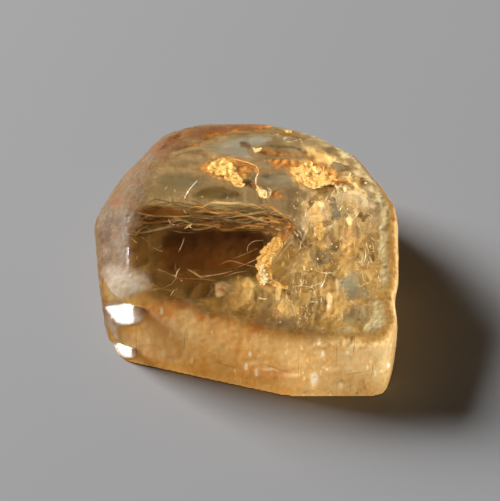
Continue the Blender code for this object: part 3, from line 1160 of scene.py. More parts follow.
# %% Stained films near the rear rim
RIM_FILMS = [
    # The rusty rim on the left
    ("rust", 0.95, 0.15, 0.4, 0.03, [
        (-4.2, 4.15), (-3.95, 4.55), (-3.6, 4.85), (-3.15, 5.1), (-2.8, 5.15), (-2.9, 4.8),
        (-3.25, 4.55), (-3.6, 4.3), (-3.95, 4.05)
    ]),
    # The brown rim in the middle
    ("amber", 0.6, 0.12, 0.35, 0.03, [
        (-2.8, 5.1), (-2.15, 5.3), (-1.2, 5.35), (-0.45, 5.4), (-0.45, 5.2), (-1.2, 5.1), (-1.9, 4.95),
        (-2.55, 4.85)
    ]),
    # Red-brown rim film
    ("rust", 0.85, 0.12, 0.35, 0.03, [
        (-4, 4.4), (-3.7, 4.7), (-3.4, 4.8), (-3.1, 5), (-3.1, 4.75), (-3.4, 4.45), (-3.8, 4.3)
    ]),
    # Pink rim film
    ("tawny", 0.6, 0.15, 0.5, 0.03, [
        (-3.25, 4.85), (-2.55, 5.1), (-1.7, 5.25), (-1.5, 5), (-2.15, 4.8), (-2.8, 4.7)
    ]),
    # Golden-brown film
    ("amber", 0.7, 0.12, 0.6, 0.03, [(-3.1, 4.6), (-2.5, 4.75), (-1.85, 4.7), (-2, 4.45), (-2.55, 4.4)]),
    # Dark lens at the rim
    ("dusk", 0.95, 0.08, 0.7, 0.02, [
        (-3.75, 4.15), (-3.4, 4.4), (-2.95, 4.55), (-2.25, 4.7), (-2.5, 4.4), (-3.1, 4.25)
    ]),
    # Brown under the lens
    ("amber", 0.75, 0.12, 0.8, 0.03, [
        (-3.7, 3.95), (-3.25, 4.15), (-2.55, 4.35), (-2, 4.4), (-2.55, 4.2), (-3.25, 3.95)
    ]),
    # Tawny swath
    ("tawny", 0.85, 0.16, 1.0, 0.04, [
        (-3.8, 3.8), (-3.1, 4.15), (-2.3, 4.4), (-1.6, 4.3), (-1.1, 4), (-1.6, 3.75), (-2, 3.9),
        (-2.55, 4.1), (-3.15, 3.95), (-3.5, 3.6)
    ]),
    # Lower tawny swath
    ("tawny", 0.85, 0.12, 1.1, 0.04, [
        (-3.15, 3.65), (-2.75, 3.55), (-2.05, 3.4), (-1.45, 3.25), (-1.9, 3.2), (-2.65, 3.3),
        (-3.1, 3.45)
    ]),
    # Orange rim band
    ("orange", 0.95, 0.1, 0.4, 0.04, [
        (-2.2, 5.2), (-1.05, 5.35), (0, 5.45), (0.9, 5.45), (0.9, 5.2), (0.2, 5.05), (-0.65, 5),
        (-1.5, 4.8), (-1.9, 4.6), (-2.2, 4.8)
    ]),
    # Dark upper edge of the band
    ("umber", 0.85, 0.08, 0.3, 0.02, [
        (-2.15, 5.25), (-1.6, 5.35), (-1.05, 5.4), (-1.2, 5.25), (-1.9, 5.15)
    ]),
    # Square dark film
    ("umber", 0.85, 0.06, 1.0, 0.02, [(-0.45, 4.7), (0, 4.65), (0.1, 4.4), (-0.1, 4.35), (-0.45, 4.4)]),
    # Dark line at the rear
    ("dusk", 0.92, 0.06, 0.8, 0.02, [
        (0.5, 4.5), (1.5, 4.55), (2.25, 4.4), (2.9, 4.35), (2.4, 4.25), (1.5, 4.35), (0.75, 4.4)
    ]),
    # Golden-brown rear film
    ("amber", 0.85, 0.12, 1.1, 0.05, [
        (0.2, 4.4), (0.95, 4.4), (1.8, 4.25), (2.25, 4.15), (2.15, 3.95), (1.3, 3.95), (0.5, 4),
        (0.2, 4.2)
    ]),
]
print(len(RIM_FILMS), "films near the rear rim")

# %% [markdown]
# More films lie under the golden fractures, round the core and in the band behind it. All of them
# are sheets with crisper rims than the core's, on a finer net with smaller folds.

# %% Stained films further in
INNER_FILMS = [
    # Golden brown under the left gold
    ("rustgold", 0.85, 0.22, 1.15, 0.04, [
        (-2.3, 3.55), (-1.8, 3.95), (-1.1, 4.15), (-0.45, 4.05), (0.25, 3.8), (0.5, 3.35), (0, 3.2),
        (-0.25, 2.65), (-0.75, 2.65), (-1.45, 3), (-2.05, 3.25)
    ]),
    # Golden brown under the right gold
    ("rustgold", 0.8, 0.25, 1.05, 0.04, [
        (1.45, 3.45), (1.95, 3.8), (2.65, 4.05), (3.4, 3.85), (4.1, 3.55), (5.05, 3.55), (5.2, 3.1),
        (4.25, 2.7), (3.35, 2.5), (2.4, 2.6), (1.8, 2.95)
    ]),
    # Yellow glow under it
    ("honey", 0.8, 0.3, 1.3, 0.04, [
        (1.6, 3.85), (2.8, 4.3), (4.05, 3.95), (5.2, 3.2), (4.95, 2.6), (3.65, 2.35), (2.4, 2.4),
        (1.7, 2.85)
    ]),
    # Bright orange rear film
    ("orange", 0.9, 0.1, 1.2, 0.05, [
        (0.55, 3.95), (1.3, 4), (2.05, 3.9), (2.2, 3.6), (1.6, 3.45), (1.05, 3.5), (0.75, 3.75)
    ]),
    # Striped film
    ("amber", 0.6, 0.12, 1.0, 0.05, [(2.2, 4.3), (2.8, 4.25), (3.1, 3.95), (2.65, 3.8), (2.25, 3.95)]),
    # Brown below the gold
    ("amber", 0.9, 0.08, 1.4, 0.08, [
        (-0.5, 2.9), (-0.15, 3.1), (0.25, 2.95), (0.35, 2.6), (0, 2.65), (-0.35, 2.7)
    ]),
    # Orange right of the loops
    ("amber", 0.85, 0.1, 1.5, 0.06, [(0.85, 2.6), (1.3, 2.6), (1.55, 2.35), (1.2, 2.15), (0.75, 2.2)]),
    # Dark olive lens
    ("dusk", 0.92, 0.14, 2.0, 0.02, [
        (-2.55, 2.35), (-2.15, 2.65), (-1.35, 2.85), (-0.75, 2.7), (-0.3, 2.4), (-0.6, 2.2), (-1.3, 2.1),
        (-2.15, 2.15)
    ]),
    # Orange leaf in the band
    ("amber", 0.9, 0.1, 1.0, 0.03, [
        (-2.75, 1.8), (-2.3, 2.05), (-1.8, 2.05), (-1.4, 1.85), (-1.7, 1.7), (-2.4, 1.7)
    ]),
    # Second leaf
    ("amber", 0.9, 0.1, 1.1, 0.03, [
        (-1.9, 1.2), (-1.2, 1.4), (-0.5, 1.45), (0.1, 1.45), (-0.35, 1.2), (-1.2, 1.1)
    ]),
    # Brown right end of the band
    ("umber", 0.8, 0.15, 1.4, 0.03, [
        (-0.6, 1.9), (0.5, 1.85), (1.45, 1.55), (1.95, 1.2), (1.3, 1.15), (0, 1.2), (-0.5, 1.45)
    ]),
    # Orange row under the band
    ("amber", 0.75, 0.12, 1.2, 0.1, [
        (-1.9, 1.15), (-1.05, 1.2), (0, 1.15), (0.1, 0.9), (-0.85, 0.9), (-1.8, 0.9)
    ]),
    # Left band, olive
    ("olive", 0.7, 0.2, 1.6, 0.03, [
        (-5.4, 1.4), (-4.8, 1.8), (-4, 2), (-3.35, 1.95), (-3.85, 1.65), (-4.7, 1.45), (-5.2, 1.05)
    ]),
    # Left band, rust
    ("rust", 0.7, 0.15, 1.3, 0.04, [
        (-5.2, 0.9), (-4.5, 0.95), (-3.65, 0.9), (-3, 0.85), (-3.65, 0.6), (-4.5, 0.6), (-5.05, 0.6)
    ]),
    # Pale film in front
    ("tawny", 0.9, 0.06, 1.0, 0.03, [
        (-1.5, -1.4), (-1.05, -1.3), (-0.7, -1.45), (-0.6, -1.8), (-0.95, -1.85), (-1.2, -2.05),
        (-1.55, -2), (-1.55, -1.7)
    ]),
    # Red spot on it
    ("rust", 0.95, 0.05, 0.9, 0.02, [
        (-1.45, -1.7), (-1.25, -1.55), (-1, -1.7), (-1.1, -1.75), (-1.3, -1.75)
    ]),
]
FINE_NET = 0.05
SOFTER_RIM = 0.05
films = new_flaws()
add_sheets(films, RIM_FILMS + INNER_FILMS, fold=0.35, net=FINE_NET, torn=0.07, softer=SOFTER_RIM)
seal_in("stained_films", films, FILM)

# %% [markdown]
# Some fractures shine like gold: two crumpled patches at the rear, a long bright flake beside the
# core, and small drops and chips. A row here has no rim, because the more whole a foil is, the
# sharper its rim is too.

# %% Golden fractures
FOILS = [
    # The left gold patch
    ("gold", 0.92, 1.0, 0.03, [
        (-1.9, 3.6), (-1.65, 3.85), (-1.3, 4), (-0.9, 3.9), (-0.65, 3.65), (-0.45, 3.25), (-0.2, 2.85),
        (-0.4, 2.65), (-0.75, 2.85), (-1.05, 3.05), (-1.5, 3.25), (-1.8, 3.4)
    ]),
    # Its trail to the left
    ("orange", 0.4, 1.0, 0.02, [
        (-2.4, 3.4), (-1.95, 3.4), (-1.45, 3.25), (-1.2, 3.05), (-1.7, 3.2), (-2.3, 3.3)
    ]),
    # The orange patch behind it
    ("orange", 0.6, 1.1, 0.02, [
        (-0.7, 3.95), (-0.25, 3.8), (0.25, 3.65), (0.45, 3.45), (0.3, 3.25), (0, 3.45), (-0.5, 3.55)
    ]),
    # The upper right gold patch
    ("gold", 0.85, 0.9, 0.03, [
        (1.65, 3.55), (2.05, 3.65), (2.4, 3.85), (2.7, 3.8), (2.95, 3.55), (3.25, 3.45), (3.5, 3.1),
        (3.6, 2.85), (3.15, 2.75), (2.9, 2.55), (2.5, 2.65), (2.25, 2.85), (1.95, 3)
    ]),
    # Its lumps towards the rim
    ("gold", 0.6, 0.7, 0.02, [
        (3.25, 3.3), (3.75, 3.25), (4.35, 3.25), (4.95, 3.4), (5.1, 3.15), (4.6, 2.95), (4, 3),
        (3.5, 2.95)
    ]),
    # The flake, a bright crescent
    ("flake", 1.0, 0.9, 0.015, [
        (1.35, 0.55), (1.45, 0.3), (1.25, 0), (1, -0.35), (0.9, -0.7), (0.9, -1), (1.05, -1.25),
        (1.4, -1.45), (1.75, -1.6), (1.3, -1.7), (0.85, -1.55), (0.5, -1.6), (0.3, -1.3), (0.25, -0.85),
        (0.25, -0.35), (0.45, 0), (0.75, 0.35), (1.05, 0.6)
    ]),
    # Its darker top
    ("rustgold", 0.85, 0.95, 0.03, [
        (1.75, 1.2), (1.95, 1), (1.75, 0.6), (1.45, 0.25), (1.1, -0.05), (0.75, -0.15), (0.6, 0.1),
        (0.85, 0.45), (1.2, 0.85), (1.5, 1.1)
    ]),
    # The rough foil left of the flake
    ("rustgold", 0.4, 1.1, 0.02, [
        (-0.15, 1.15), (0.65, 1.2), (1.7, 1.2), (1.65, 0.85), (1.2, 0.55), (0.5, 0.7), (0, 0.8)
    ]),
    # The drop
    ("gold", 1.1, 0.9, 0.01, [
        (2.85, 1.2), (3.1, 1.2), (3.25, 0.9), (3.1, 0.55), (2.9, 0.4), (2.8, 0.7), (2.7, 1)
    ]),
    # A smaller drop
    ("pale_gold", 1.1, 1.1, 0.01, [(3.1, 0.45), (3.4, 0.55), (3.55, 0.3), (3.35, 0.1), (3.15, 0.2)]),
    # The gold chip at the rear rim
    ("gold", 1.2, 0.3, 0.018, [(1.45, 5.2), (1.7, 5.25), (1.8, 5.1), (1.55, 5.05)]),
    # Gold edge of the square film
    ("pale_gold", 1.2, 0.9, 0.015, [
        (0, 4.65), (0.15, 4.4), (0.45, 4.4), (0.5, 4.35), (0.35, 4.2), (0.15, 4.25)
    ]),
    # The bright foot of the flake
    ("blaze", 0.8, 0.8, 0.02, [
        (0.35, -0.6), (0.5, -0.5), (0.7, -0.75), (0.75, -1.1), (1.05, -1.35), (0.85, -1.45),
        (0.5, -1.45), (0.35, -1.05)
    ]),
    # The bright end of the loops
    ("pale_gold", 1.1, 0.8, 0.01, [(0.25, 2.65), (0.5, 2.75), (0.75, 2.5), (0.75, 2.25), (0.45, 2.3)]),
]
FOIL_NET = 0.045
SMALL_FOLDS = 0.3
WIDEST_RIM = 0.3
SHARPENING = 0.2
foil_rows = [
    (stain, whole, WIDEST_RIM - SHARPENING * whole, depth, crinkle, outline)
    for stain, whole, depth, crinkle, outline in FOILS
]
foils = new_flaws()
add_sheets(foils, foil_rows, SMALL_FOLDS, FOIL_NET, torn=0.1)
seal_in("gold_fractures", foils, FOIL)

# %% [markdown]
# The right half is full of healed fractures, grey, green and honey. The smaller ones come first:
# facets, gaps and crevices, most of them dark or grey.

# %% Healed veils: facets and crevices
FACET_VEILS = [
    # Tan shelf at the right rear
    ("pale_honey", 0.4, 0.25, 0.6, 0.06, [
        (3.4, 2.55), (4.25, 2.85), (5.05, 2.65), (5.45, 1.95), (5.2, 1.65), (4.5, 1.8), (3.85, 2.1)
    ]),
    # Grey lens at the right rear
    ("slate", 0.95, 0.1, 0.5, 0.03, [
        (3.45, 3.8), (4, 3.9), (4.4, 3.6), (4.3, 3.4), (3.75, 3.35), (3.4, 3.55)
    ]),
    # Grey-olive gap
    ("dusk", 0.8, 0.12, 0.7, 0.04, [
        (2.4, 2.05), (2.75, 2.5), (3.15, 2.75), (3.4, 2.6), (3.35, 2.25), (2.9, 2.15), (2.65, 1.65)
    ]),
    # Grey facet with white lines
    ("slate", 0.95, 0.08, 0.65, 0.04, [
        (3.4, 2.05), (3.75, 2.05), (3.95, 1.8), (3.9, 1.45), (3.6, 1.25), (3.4, 1.65)
    ]),
    # Small dark box
    ("dusk", 0.95, 0.05, 0.5, 0.02, [(4.6, 1.6), (5.15, 1.65), (5.1, 1.35), (4.65, 1.25)]),
    # Dark hollow beside the flake
    ("dusk", 0.8, 0.2, 1.6, 0.05, [
        (1.75, 0.7), (2.25, 0.95), (2.7, 0.95), (2.9, 0.45), (2.65, 0.05), (2.15, -0.1), (1.9, 0.3)
    ]),
    # Grey cloud
    ("slate", 0.7, 0.2, 0.6, 0.05, [(2.55, 0), (3.35, 0.25), (3.75, -0.2), (3.25, -0.75), (2.65, -0.55)]),
    # Dark slot
    ("dusk", 0.85, 0.12, 0.7, 0.03, [(3.45, 0.45), (3.9, 0.45), (3.95, 0), (3.75, -0.25), (3.45, -0.05)]),
    # Grey-green facet
    ("grey_green", 0.9, 0.25, 0.35, 0.04, [
        (3.9, -1.1), (4.35, -0.85), (4.8, -0.9), (4.9, -1.45), (5.25, -1.65), (5, -2.05), (4.35, -2.15),
        (3.95, -2), (3.75, -1.5)
    ]),
    # Grey facet below it
    ("slate", 0.8, 0.35, 0.35, 0.05, [
        (4.05, -2.35), (4.8, -2.2), (5.45, -2.45), (5.2, -3.15), (4.55, -3.4), (3.95, -3.25),
        (3.85, -2.75)
    ]),
    # Dark crevice, left
    ("umber", 0.85, 0.08, 0.8, 0.03, [(4.65, 0.05), (4.85, 0.1), (4.85, -0.3), (4.7, -0.5), (4.55, -0.25)]),
    # Dark crevice, right
    ("umber", 0.85, 0.08, 0.8, 0.03, [(5.1, 0), (5.45, 0.05), (5.45, -0.4), (5.3, -0.65), (5.1, -0.4)]),
    # Red-brown foot of the crevice
    ("rust", 0.8, 0.08, 0.7, 0.03, [(4.7, -0.65), (5.05, -0.6), (5.15, -0.8), (4.85, -0.85)]),
    # Olive shadow
    ("umber", 0.6, 0.2, 1.5, 0.05, [(2.9, -1.85), (3.5, -1.9), (3.75, -2.35), (3.35, -2.55), (3, -2.3)]),
    # Brown cloud in front
    ("umber", 0.2, 0.3, 1.6, 0.05, [
        (0, -2.35), (0.75, -2.05), (1.35, -2.3), (1.1, -2.95), (0.5, -3.15), (0, -2.9)
    ]),
]
print(len(FACET_VEILS), "facets and crevices")

# %% [markdown]
# Wide clouds and veils of honey lie between and below them, and give the right half its golden
# depth. One small grey window closes the table. Both tables go into one mesh. Their rims are torn
# further than the films' are, because a healed fracture ends raggedly.

# %% Healed veils: clouds
CLOUDS = [
    # Golden cloud over the right half
    ("honey", 0.55, 0.7, 1.2, 0.1, [
        (1.8, 2.15), (3.4, 3.1), (5.15, 2.6), (5.75, 0.45), (5.65, -1.7), (4.95, -2.95), (3, -3.3),
        (0.5, -2.9), (0.5, -2.05), (1.7, -0.5), (2.15, 0.9)
    ]),
    # Pale cloud over the right half
    ("pale_honey", 0.5, 0.6, 1.7, 0.1, [
        (2.15, 2.35), (4.05, 3), (5.4, 1.95), (5.65, -0.5), (4.35, -0.5), (3.1, 0.45), (2.4, 1.1)
    ]),
    # Golden cloud along the rear rim
    ("honey", 0.8, 0.3, 0.6, 0.06, [
        (2.15, 4.7), (3.4, 4.3), (4.45, 3.6), (5.15, 2.65), (5.4, 2), (4.35, 2.6), (3.2, 3.6),
        (2.35, 4.05)
    ]),
    # Honey cloud in front
    ("honey", 0.9, 0.6, 2.2, 0.1, [
        (-0.45, -0.85), (1.7, -1.7), (3.85, -2.1), (3.4, -3.25), (1.3, -3.15), (-0.45, -2.9),
        (-1.5, -2.35)
    ]),
    # Honey veil
    ("honey", 0.6, 0.4, 2.0, 0.1, [
        (1.95, -0.5), (2.65, -0.75), (3.7, -0.65), (3.95, -1.7), (3.4, -2.1), (2.4, -2.35), (1.8, -1.95),
        (1.6, -1.1)
    ]),
    # Tan veil by the right rim
    ("pale_honey", 0.7, 0.3, 1.3, 0.08, [
        (4, 1.2), (5.2, 1.2), (5.55, 0.45), (5.45, -0.5), (4.6, 0.2), (4.2, -0.5), (3.95, 0.3)
    ]),
    # Grey window between the patches
    ("slate", 0.8, 0.1, 1.5, 0.02, [(-0.4, 3.45), (0, 3.4), (0.3, 3.2), (0.2, 3.05), (-0.25, 3.1)]),
]
RAGGED = 0.25
veils = new_flaws()
add_sheets(veils, FACET_VEILS + CLOUDS, SMALL_FOLDS, FINE_NET, RAGGED, SOFTER_RIM, flatter=0.3)
print("the drawn veils have", len(veils.verts), "points")

# %% [markdown]
# Small five-cornered facets at random places between the clouds, most of them tall and narrow like
# the real ones, fill the right half with shards.

# %% Healed veils: random facets
FACETS = 48
CORNERS = 5
FACET_HEIGHT = (0.2, 0.55)
FACET_WIDTH = (0.08, 0.22)
FACET_LEAN = (-0.4, 0.4)
CORNER_REACH = (0.6, 1.2)
FACET_DEPTH = (0.4, 1.0)
FACET_BODY = (0.35, 0.8)
FACET_SHEET = {
    "fade": 0.09, "crinkle": 0.02, "fold": SMALL_FOLDS, "net": FOIL_NET, "torn": 0.03, "steps": 1,
}
FACET_STAINS = ("slate", "honey", "honey", "pale_honey", "pale_honey", "straw")


def random_facet(dice):
    """The outline of a shard, its depth, its stain and how solid it is."""
    x, y = random_inside(CRACKLED, dice)
    tall, wide, lean = dice.uniform(*FACET_HEIGHT), dice.uniform(*FACET_WIDTH), dice.uniform(*FACET_LEAN)
    outline = []
    for corner in range(CORNERS):
        turn, reach = 2 * math.pi * corner / CORNERS, dice.uniform(*CORNER_REACH)
        rise = tall * reach * math.cos(turn)
        outline.append((x + wide * reach * math.sin(turn) + lean * rise, y + rise))
    depth, body = dice.uniform(*FACET_DEPTH), dice.uniform(*FACET_BODY)
    return outline, depth, dice.choice(FACET_STAINS), body


dice = random.Random(5)
for seed in range(FACETS):
    sheet(veils, *random_facet(dice), seed=seed, **FACET_SHEET)
seal_in("healed_veils", veils, VEIL)

# %% [markdown]
# Four wide sheets carry the crazing, and only its lines show.

# %% Crazing
CRAZING = [
    # The right half
    ("straw", 0.8, 0.5, 0.9, 0.1, [
        (1.95, 1.95), (3.4, 2.6), (5.2, 2.35), (5.75, 0.45), (5.65, -1.7), (5.05, -2.9), (3, -3.2),
        (1.3, -2.75), (1.1, -1.45), (1.95, -0.5), (2.15, 0.65)
    ]),
    # Deeper, in the right half
    ("pale_honey", 0.7, 0.6, 1.6, 0.1, [
        (1.7, 1.5), (3.4, 3), (4.9, 3), (5.45, 0.45), (5.4, -2.1), (3.4, -3.05), (1.7, -2.9),
        (1.5, -1.25)
    ]),
    # Low on the left
    ("tawny", 0.6, 0.3, 0.9, 0.06, [
        (-5.45, 0.25), (-4.7, 0.9), (-3.85, 0.6), (-3, -0.5), (-1.5, -1.05), (-0.45, -1.7),
        (-0.75, -2.35), (-2.55, -2.1), (-4.25, -1.7), (-5.2, -0.9)
    ]),
    # The rear right rim
    ("pale_gold", 0.8, 0.2, 0.35, 0.05, [
        (2.15, 4.7), (3.4, 4.2), (4.35, 3.55), (4.95, 2.65), (4.35, 2.75), (3.4, 3.35), (2.55, 3.95),
        (2.15, 4.3)
    ]),
]
crazing = new_flaws()
add_sheets(crazing, CRAZING, WIDE_FOLDS, COARSE_NET, RAGGED)
seal_in("crazing", crazing, CRAZE)

# %% [markdown]
# A band behind the core looks like combed hair: many thin stained strands, side by side. Two drawn
# lines bound the band, and each strand wanders between them at its own level and depth. Strands
# that start further right are more golden. They have the dull material of the films.

# %% The stained band's strands
BAND_TOP = [
    (-5.4, 1.2), (-5.1, 1.75), (-4.4, 1.95), (-3.2, 2.0), (-1.9, 1.95), (-0.5, 2.0), (0.8, 1.9), (1.4, 1.6),
    (1.9, 1.25),
]
BAND_FOOT = [
    (-5.4, 0.6), (-5.0, 0.75), (-4.3, 0.85), (-3.1, 0.9), (-1.8, 0.95), (-0.4, 0.95), (0.9, 0.95),
    (1.5, 0.95), (1.9, 1.0),
]
STRANDS = 95
BENDS = 5
ALONG_BAND = 60
STRAND_STEPS = 14
LAST_START = 0.75
STRAND_LENGTH = (0.12, 0.4)
WAVE = 0.14
WAVE_STEP = 1.3
WANDER = 0.08
GOLDEN_FROM = 0.3
STRAND_DEPTH = (0.5, 1.5)
STRAND_WIDTH = (0.03, 0.10)
STRAND_CRINKLE = 0.1
STRAND_BODY = 0.8
DARK_STRANDS = ("umber", "umber", "olive", "amber", "tawny")
GOLDEN_STRANDS = ("umber", "olive", "amber", "tawny", "rustgold", "honey")
dice = random.Random(11)
strands = new_flaws()
top, foot = smooth_line(BAND_TOP, ALONG_BAND), smooth_line(BAND_FOOT, ALONG_BAND)
for strand in range(STRANDS):
    level = dice.random()
    start = dice.uniform(0, LAST_START)
    end = min(1.0, start + dice.uniform(*STRAND_LENGTH))
    line = []
    for step in range(BENDS):
        at = int((start + (end - start) * step / (BENDS - 1)) * (ALONG_BAND - 1))
        drift = level + WAVE * math.sin(step * WAVE_STEP + strand) + dice.uniform(-WANDER, WANDER)
        line.append(top[at].lerp(foot[at], drift))
    stain = dice.choice(GOLDEN_STRANDS if start > GOLDEN_FROM else DARK_STRANDS)
    depth, width = dice.uniform(*STRAND_DEPTH), dice.uniform(*STRAND_WIDTH)
    thread(strands, line, depth, stain, width, STRAND_STEPS, STRAND_CRINKLE, strand, STRAND_BODY)
seal_in("stained_threads", strands, FILM)

# %% [markdown]
# Needles and the edges of fractures catch the light as bright lines, and their pale stains paint
# that light in. The first table has those over and under the core, round the flake and in the middle.

# %% Bright threads on the left and in the middle
LEFT_LINES = [
    # The bright needle
    ("white", 0.039, 0.6, [(-2.26, 2.98), (-2.48, 2.76), (-2.7, 2.46), (-2.82, 2.2)]),
    # Needles over the core
    ("straw", 0.033, 0.9, [(-2.82, 0.54), (-2.94, 0.2), (-3.08, -0.06)]),
    ("straw", 0.039, 0.9, [(-3, -0.74), (-3.12, -0.92), (-3.2, -1.18)]),
    ("straw", 0.039, 0.8, [(-3.24, -1.68), (-3.42, -1.94)]),
    # Soft light threads under the core
    ("tawny", 0.088, 1.2, [(-2.7, -0.8), (-2.4, -0.96), (-2.1, -1.14), (-1.7, -1.08)]),
    ("tawny", 0.033, 1.2, [(-2.1, -1.08), (-1.42, -1.04), (-0.76, -0.88)]),
    ("amber", 0.033, 1.1, [(-3.16, -1.22), (-2.22, -1.22), (-1.46, -1.3)]),
    ("tawny", 0.028, 1.1, [(-1.32, -0.62), (-0.86, -0.44), (-0.3, -0.58), (0.34, -0.74)]),
    ("tawny", 0.028, 1.2, [(-0.76, -0.36), (-0.18, -0.14), (0.34, 0.1)]),
    ("tawny", 0.028, 1.2, [(-0.6, -0.74), (-0.08, -0.54), (0.38, -0.32)]),
    ("tawny", 0.022, 1.3, [(-1.2, -1.18), (-0.6, -0.96), (0, -0.88)]),
    # The loop left of the flake
    ("straw", 0.022, 0.8, [(-0.12, -0.06), (-0.08, 0.2), (0.18, 0.4), (0.6, 0.44)]),
    # Two lines along the flake
    ("pale_gold", 0.028, 0.7, [(1.7, 0.58), (1.36, 0.14), (1.06, -0.28), (0.86, -0.62)]),
    ("straw", 0.022, 0.8, [(1.84, 0.44), (1.54, 0.1), (1.24, -0.32), (0.98, -0.62)]),
    # The fan right of the flake
    ("straw", 0.022, 0.8, [(2.18, 0.4), (2.14, 0.1), (1.84, -0.24)]),
    ("white", 0.028, 0.7, [(1.88, 0.84), (2.06, 0.58)]),
    ("straw", 0.017, 0.8, [(1.96, 0.62), (2.22, 0.32), (2.48, 0.02)]),
    ("tawny", 0.017, 1.0, [(1.54, -0.5), (1.96, -0.44), (2.3, -0.28)]),
    ("tawny", 0.017, 1.0, [(1.62, 1.04), (2.14, 0.62), (2.4, 0.2)]),
    # The tail of the flake
    ("pale_gold", 0.055, 0.8, [(0.76, -1.38), (1.12, -1.52), (1.7, -1.68)]),
    # White loops in the middle
    ("white", 0.055, 0.8, [(0.38, 3.36), (0.26, 3.1), (0.26, 2.8)]),
    ("pale_gold", 0.077, 0.8, [(0.22, 2.88), (0.42, 2.58), (0.64, 2.24)]),
    ("white", 0.033, 0.8, [(0.72, 2.72), (0.9, 2.54), (0.76, 2.24)]),
    ("pale_gold", 0.028, 0.8, [(0.26, 3.62), (0.38, 3.4)]),
    # The bright edge of the right patch
    ("pale_gold", 0.039, 0.7, [(2.22, 3.66), (2.26, 3.22), (2.36, 2.88)]),
    ("pale_gold", 0.039, 0.7, [(2.86, 3.66), (3.12, 3.4), (3.24, 3.06)]),
    ("pale_gold", 0.033, 0.7, [(2.36, 2.84), (2.78, 2.68), (3.2, 2.92)]),
    ("straw", 0.028, 0.7, [(1.84, 3.36), (2.06, 3.1), (2.26, 2.98)]),
    # The edge of the orange patch
    ("pale_gold", 0.028, 0.9, [(-0.82, 3.96), (-0.42, 3.86), (0, 3.74), (0.42, 3.52)]),
    # Light lines at the end of the band
    ("tawny", 0.028, 0.9, [(0.52, 1.68), (0.86, 1.48), (1.28, 1.34)]),
    ("straw", 0.028, 0.8, [(0.86, 1.9), (1.28, 1.6), (1.8, 1.44)]),
    ("tawny", 0.028, 0.9, [(-0.18, 1.98), (0.52, 1.94), (1.12, 1.74)]),
    ("amber", 0.028, 0.9, [(-2.48, 1.26), (-1.54, 1.44), (-0.42, 1.34), (0.52, 1.44)]),
    ("tawny", 0.022, 0.9, [(-1.62, 1.22), (-1.02, 1.44), (-0.42, 1.56)]),
]
print(len(LEFT_LINES), "bright lines on the left and in the middle")

# %% [markdown]
# The right half has the most, because there the stone is full of small fractures with lit edges.

# %% Bright threads on the right
RIGHT_LINES = [
    # The golden bar
    ("pale_gold", 0.05, 0.7, [(3.12, 2.08), (3.24, 1.74), (3.34, 1.34)]),
    # A long light line
    ("straw", 0.028, 0.8, [(4.02, 1.64), (4.06, 1.14), (3.94, 0.54)]),
    # Lines by the small box
    ("white", 0.033, 0.6, [(4.44, 1.34), (4.66, 1.6)]),
    ("pale_gold", 0.033, 0.7, [(4.24, 2.02), (4.44, 1.86), (4.66, 1.74)]),
    ("straw", 0.022, 0.8, [(4.52, 1.78), (4.88, 1.78), (5.22, 1.68)]),
    ("straw", 0.022, 0.8, [(4.62, 1.18), (4.96, 1.22), (5.26, 1.08)]),
    # Lines on the grey facet
    ("white", 0.022, 0.9, [(3.58, 1.9), (3.68, 1.64), (3.54, 1.38)]),
    ("straw", 0.022, 0.9, [(3.76, 1.94), (3.84, 1.74), (3.72, 1.56)]),
    ("straw", 0.022, 0.8, [(2.74, 1.26), (2.9, 1.56), (2.86, 1.86)]),
    ("pale_gold", 0.028, 0.8, [(3.46, 2.24), (3.54, 2.46), (3.68, 2.62)]),
    ("straw", 0.022, 0.9, [(2.82, 2.16), (2.9, 1.9)]),
    # Light lines in the hollow
    ("straw", 0.017, 1.0, [(2.3, 0.2), (2.52, 0.1), (2.64, -0.02)]),
    # The bright outline at the right
    ("straw", 0.039, 0.7, [(5.52, -1.3), (5.42, -1.68), (5.18, -2.02), (4.78, -2.28)]),
    ("straw", 0.028, 0.7, [(4.82, -0.88), (4.88, -1.26), (5.12, -1.38), (5.22, -1.08)]),
    ("straw", 0.022, 0.7, [(3.88, -0.92), (4.36, -0.8), (4.74, -0.84)]),
    ("straw", 0.028, 0.7, [(5.3, -1.14), (5.48, -1.38), (5.42, -1.78)]),
    ("white", 0.044, 0.6, [(4.96, 0.02), (4.96, -0.28), (4.88, -0.5)]),
    ("straw", 0.028, 0.7, [(5.22, 0.4), (5.3, 0.1), (5.18, -0.2)]),
    ("straw", 0.028, 0.6, [(5.48, 0.24), (5.6, -0.06), (5.52, -0.5)]),
    ("straw", 0.028, 0.6, [(5.22, -0.66), (5.38, -0.84), (5.52, -1)]),
    # Marks on the low grey facet
    ("pale_gold", 0.055, 0.8, [(4.7, -2.58), (4.58, -2.88), (4.4, -3.18)]),
    ("pale_gold", 0.033, 0.8, [(4.4, -2.92), (4.52, -3.06)]),
    ("straw", 0.033, 0.9, [(3.94, -2.5), (3.84, -2.8), (3.8, -3.1)]),
]
print(len(RIGHT_LINES), "bright lines on the right")

# %% [markdown]
# The smallest ones are little more than glints: a chain in front, curls low on the left and rows
# along the rim. The three tables go into one mesh, in this order.

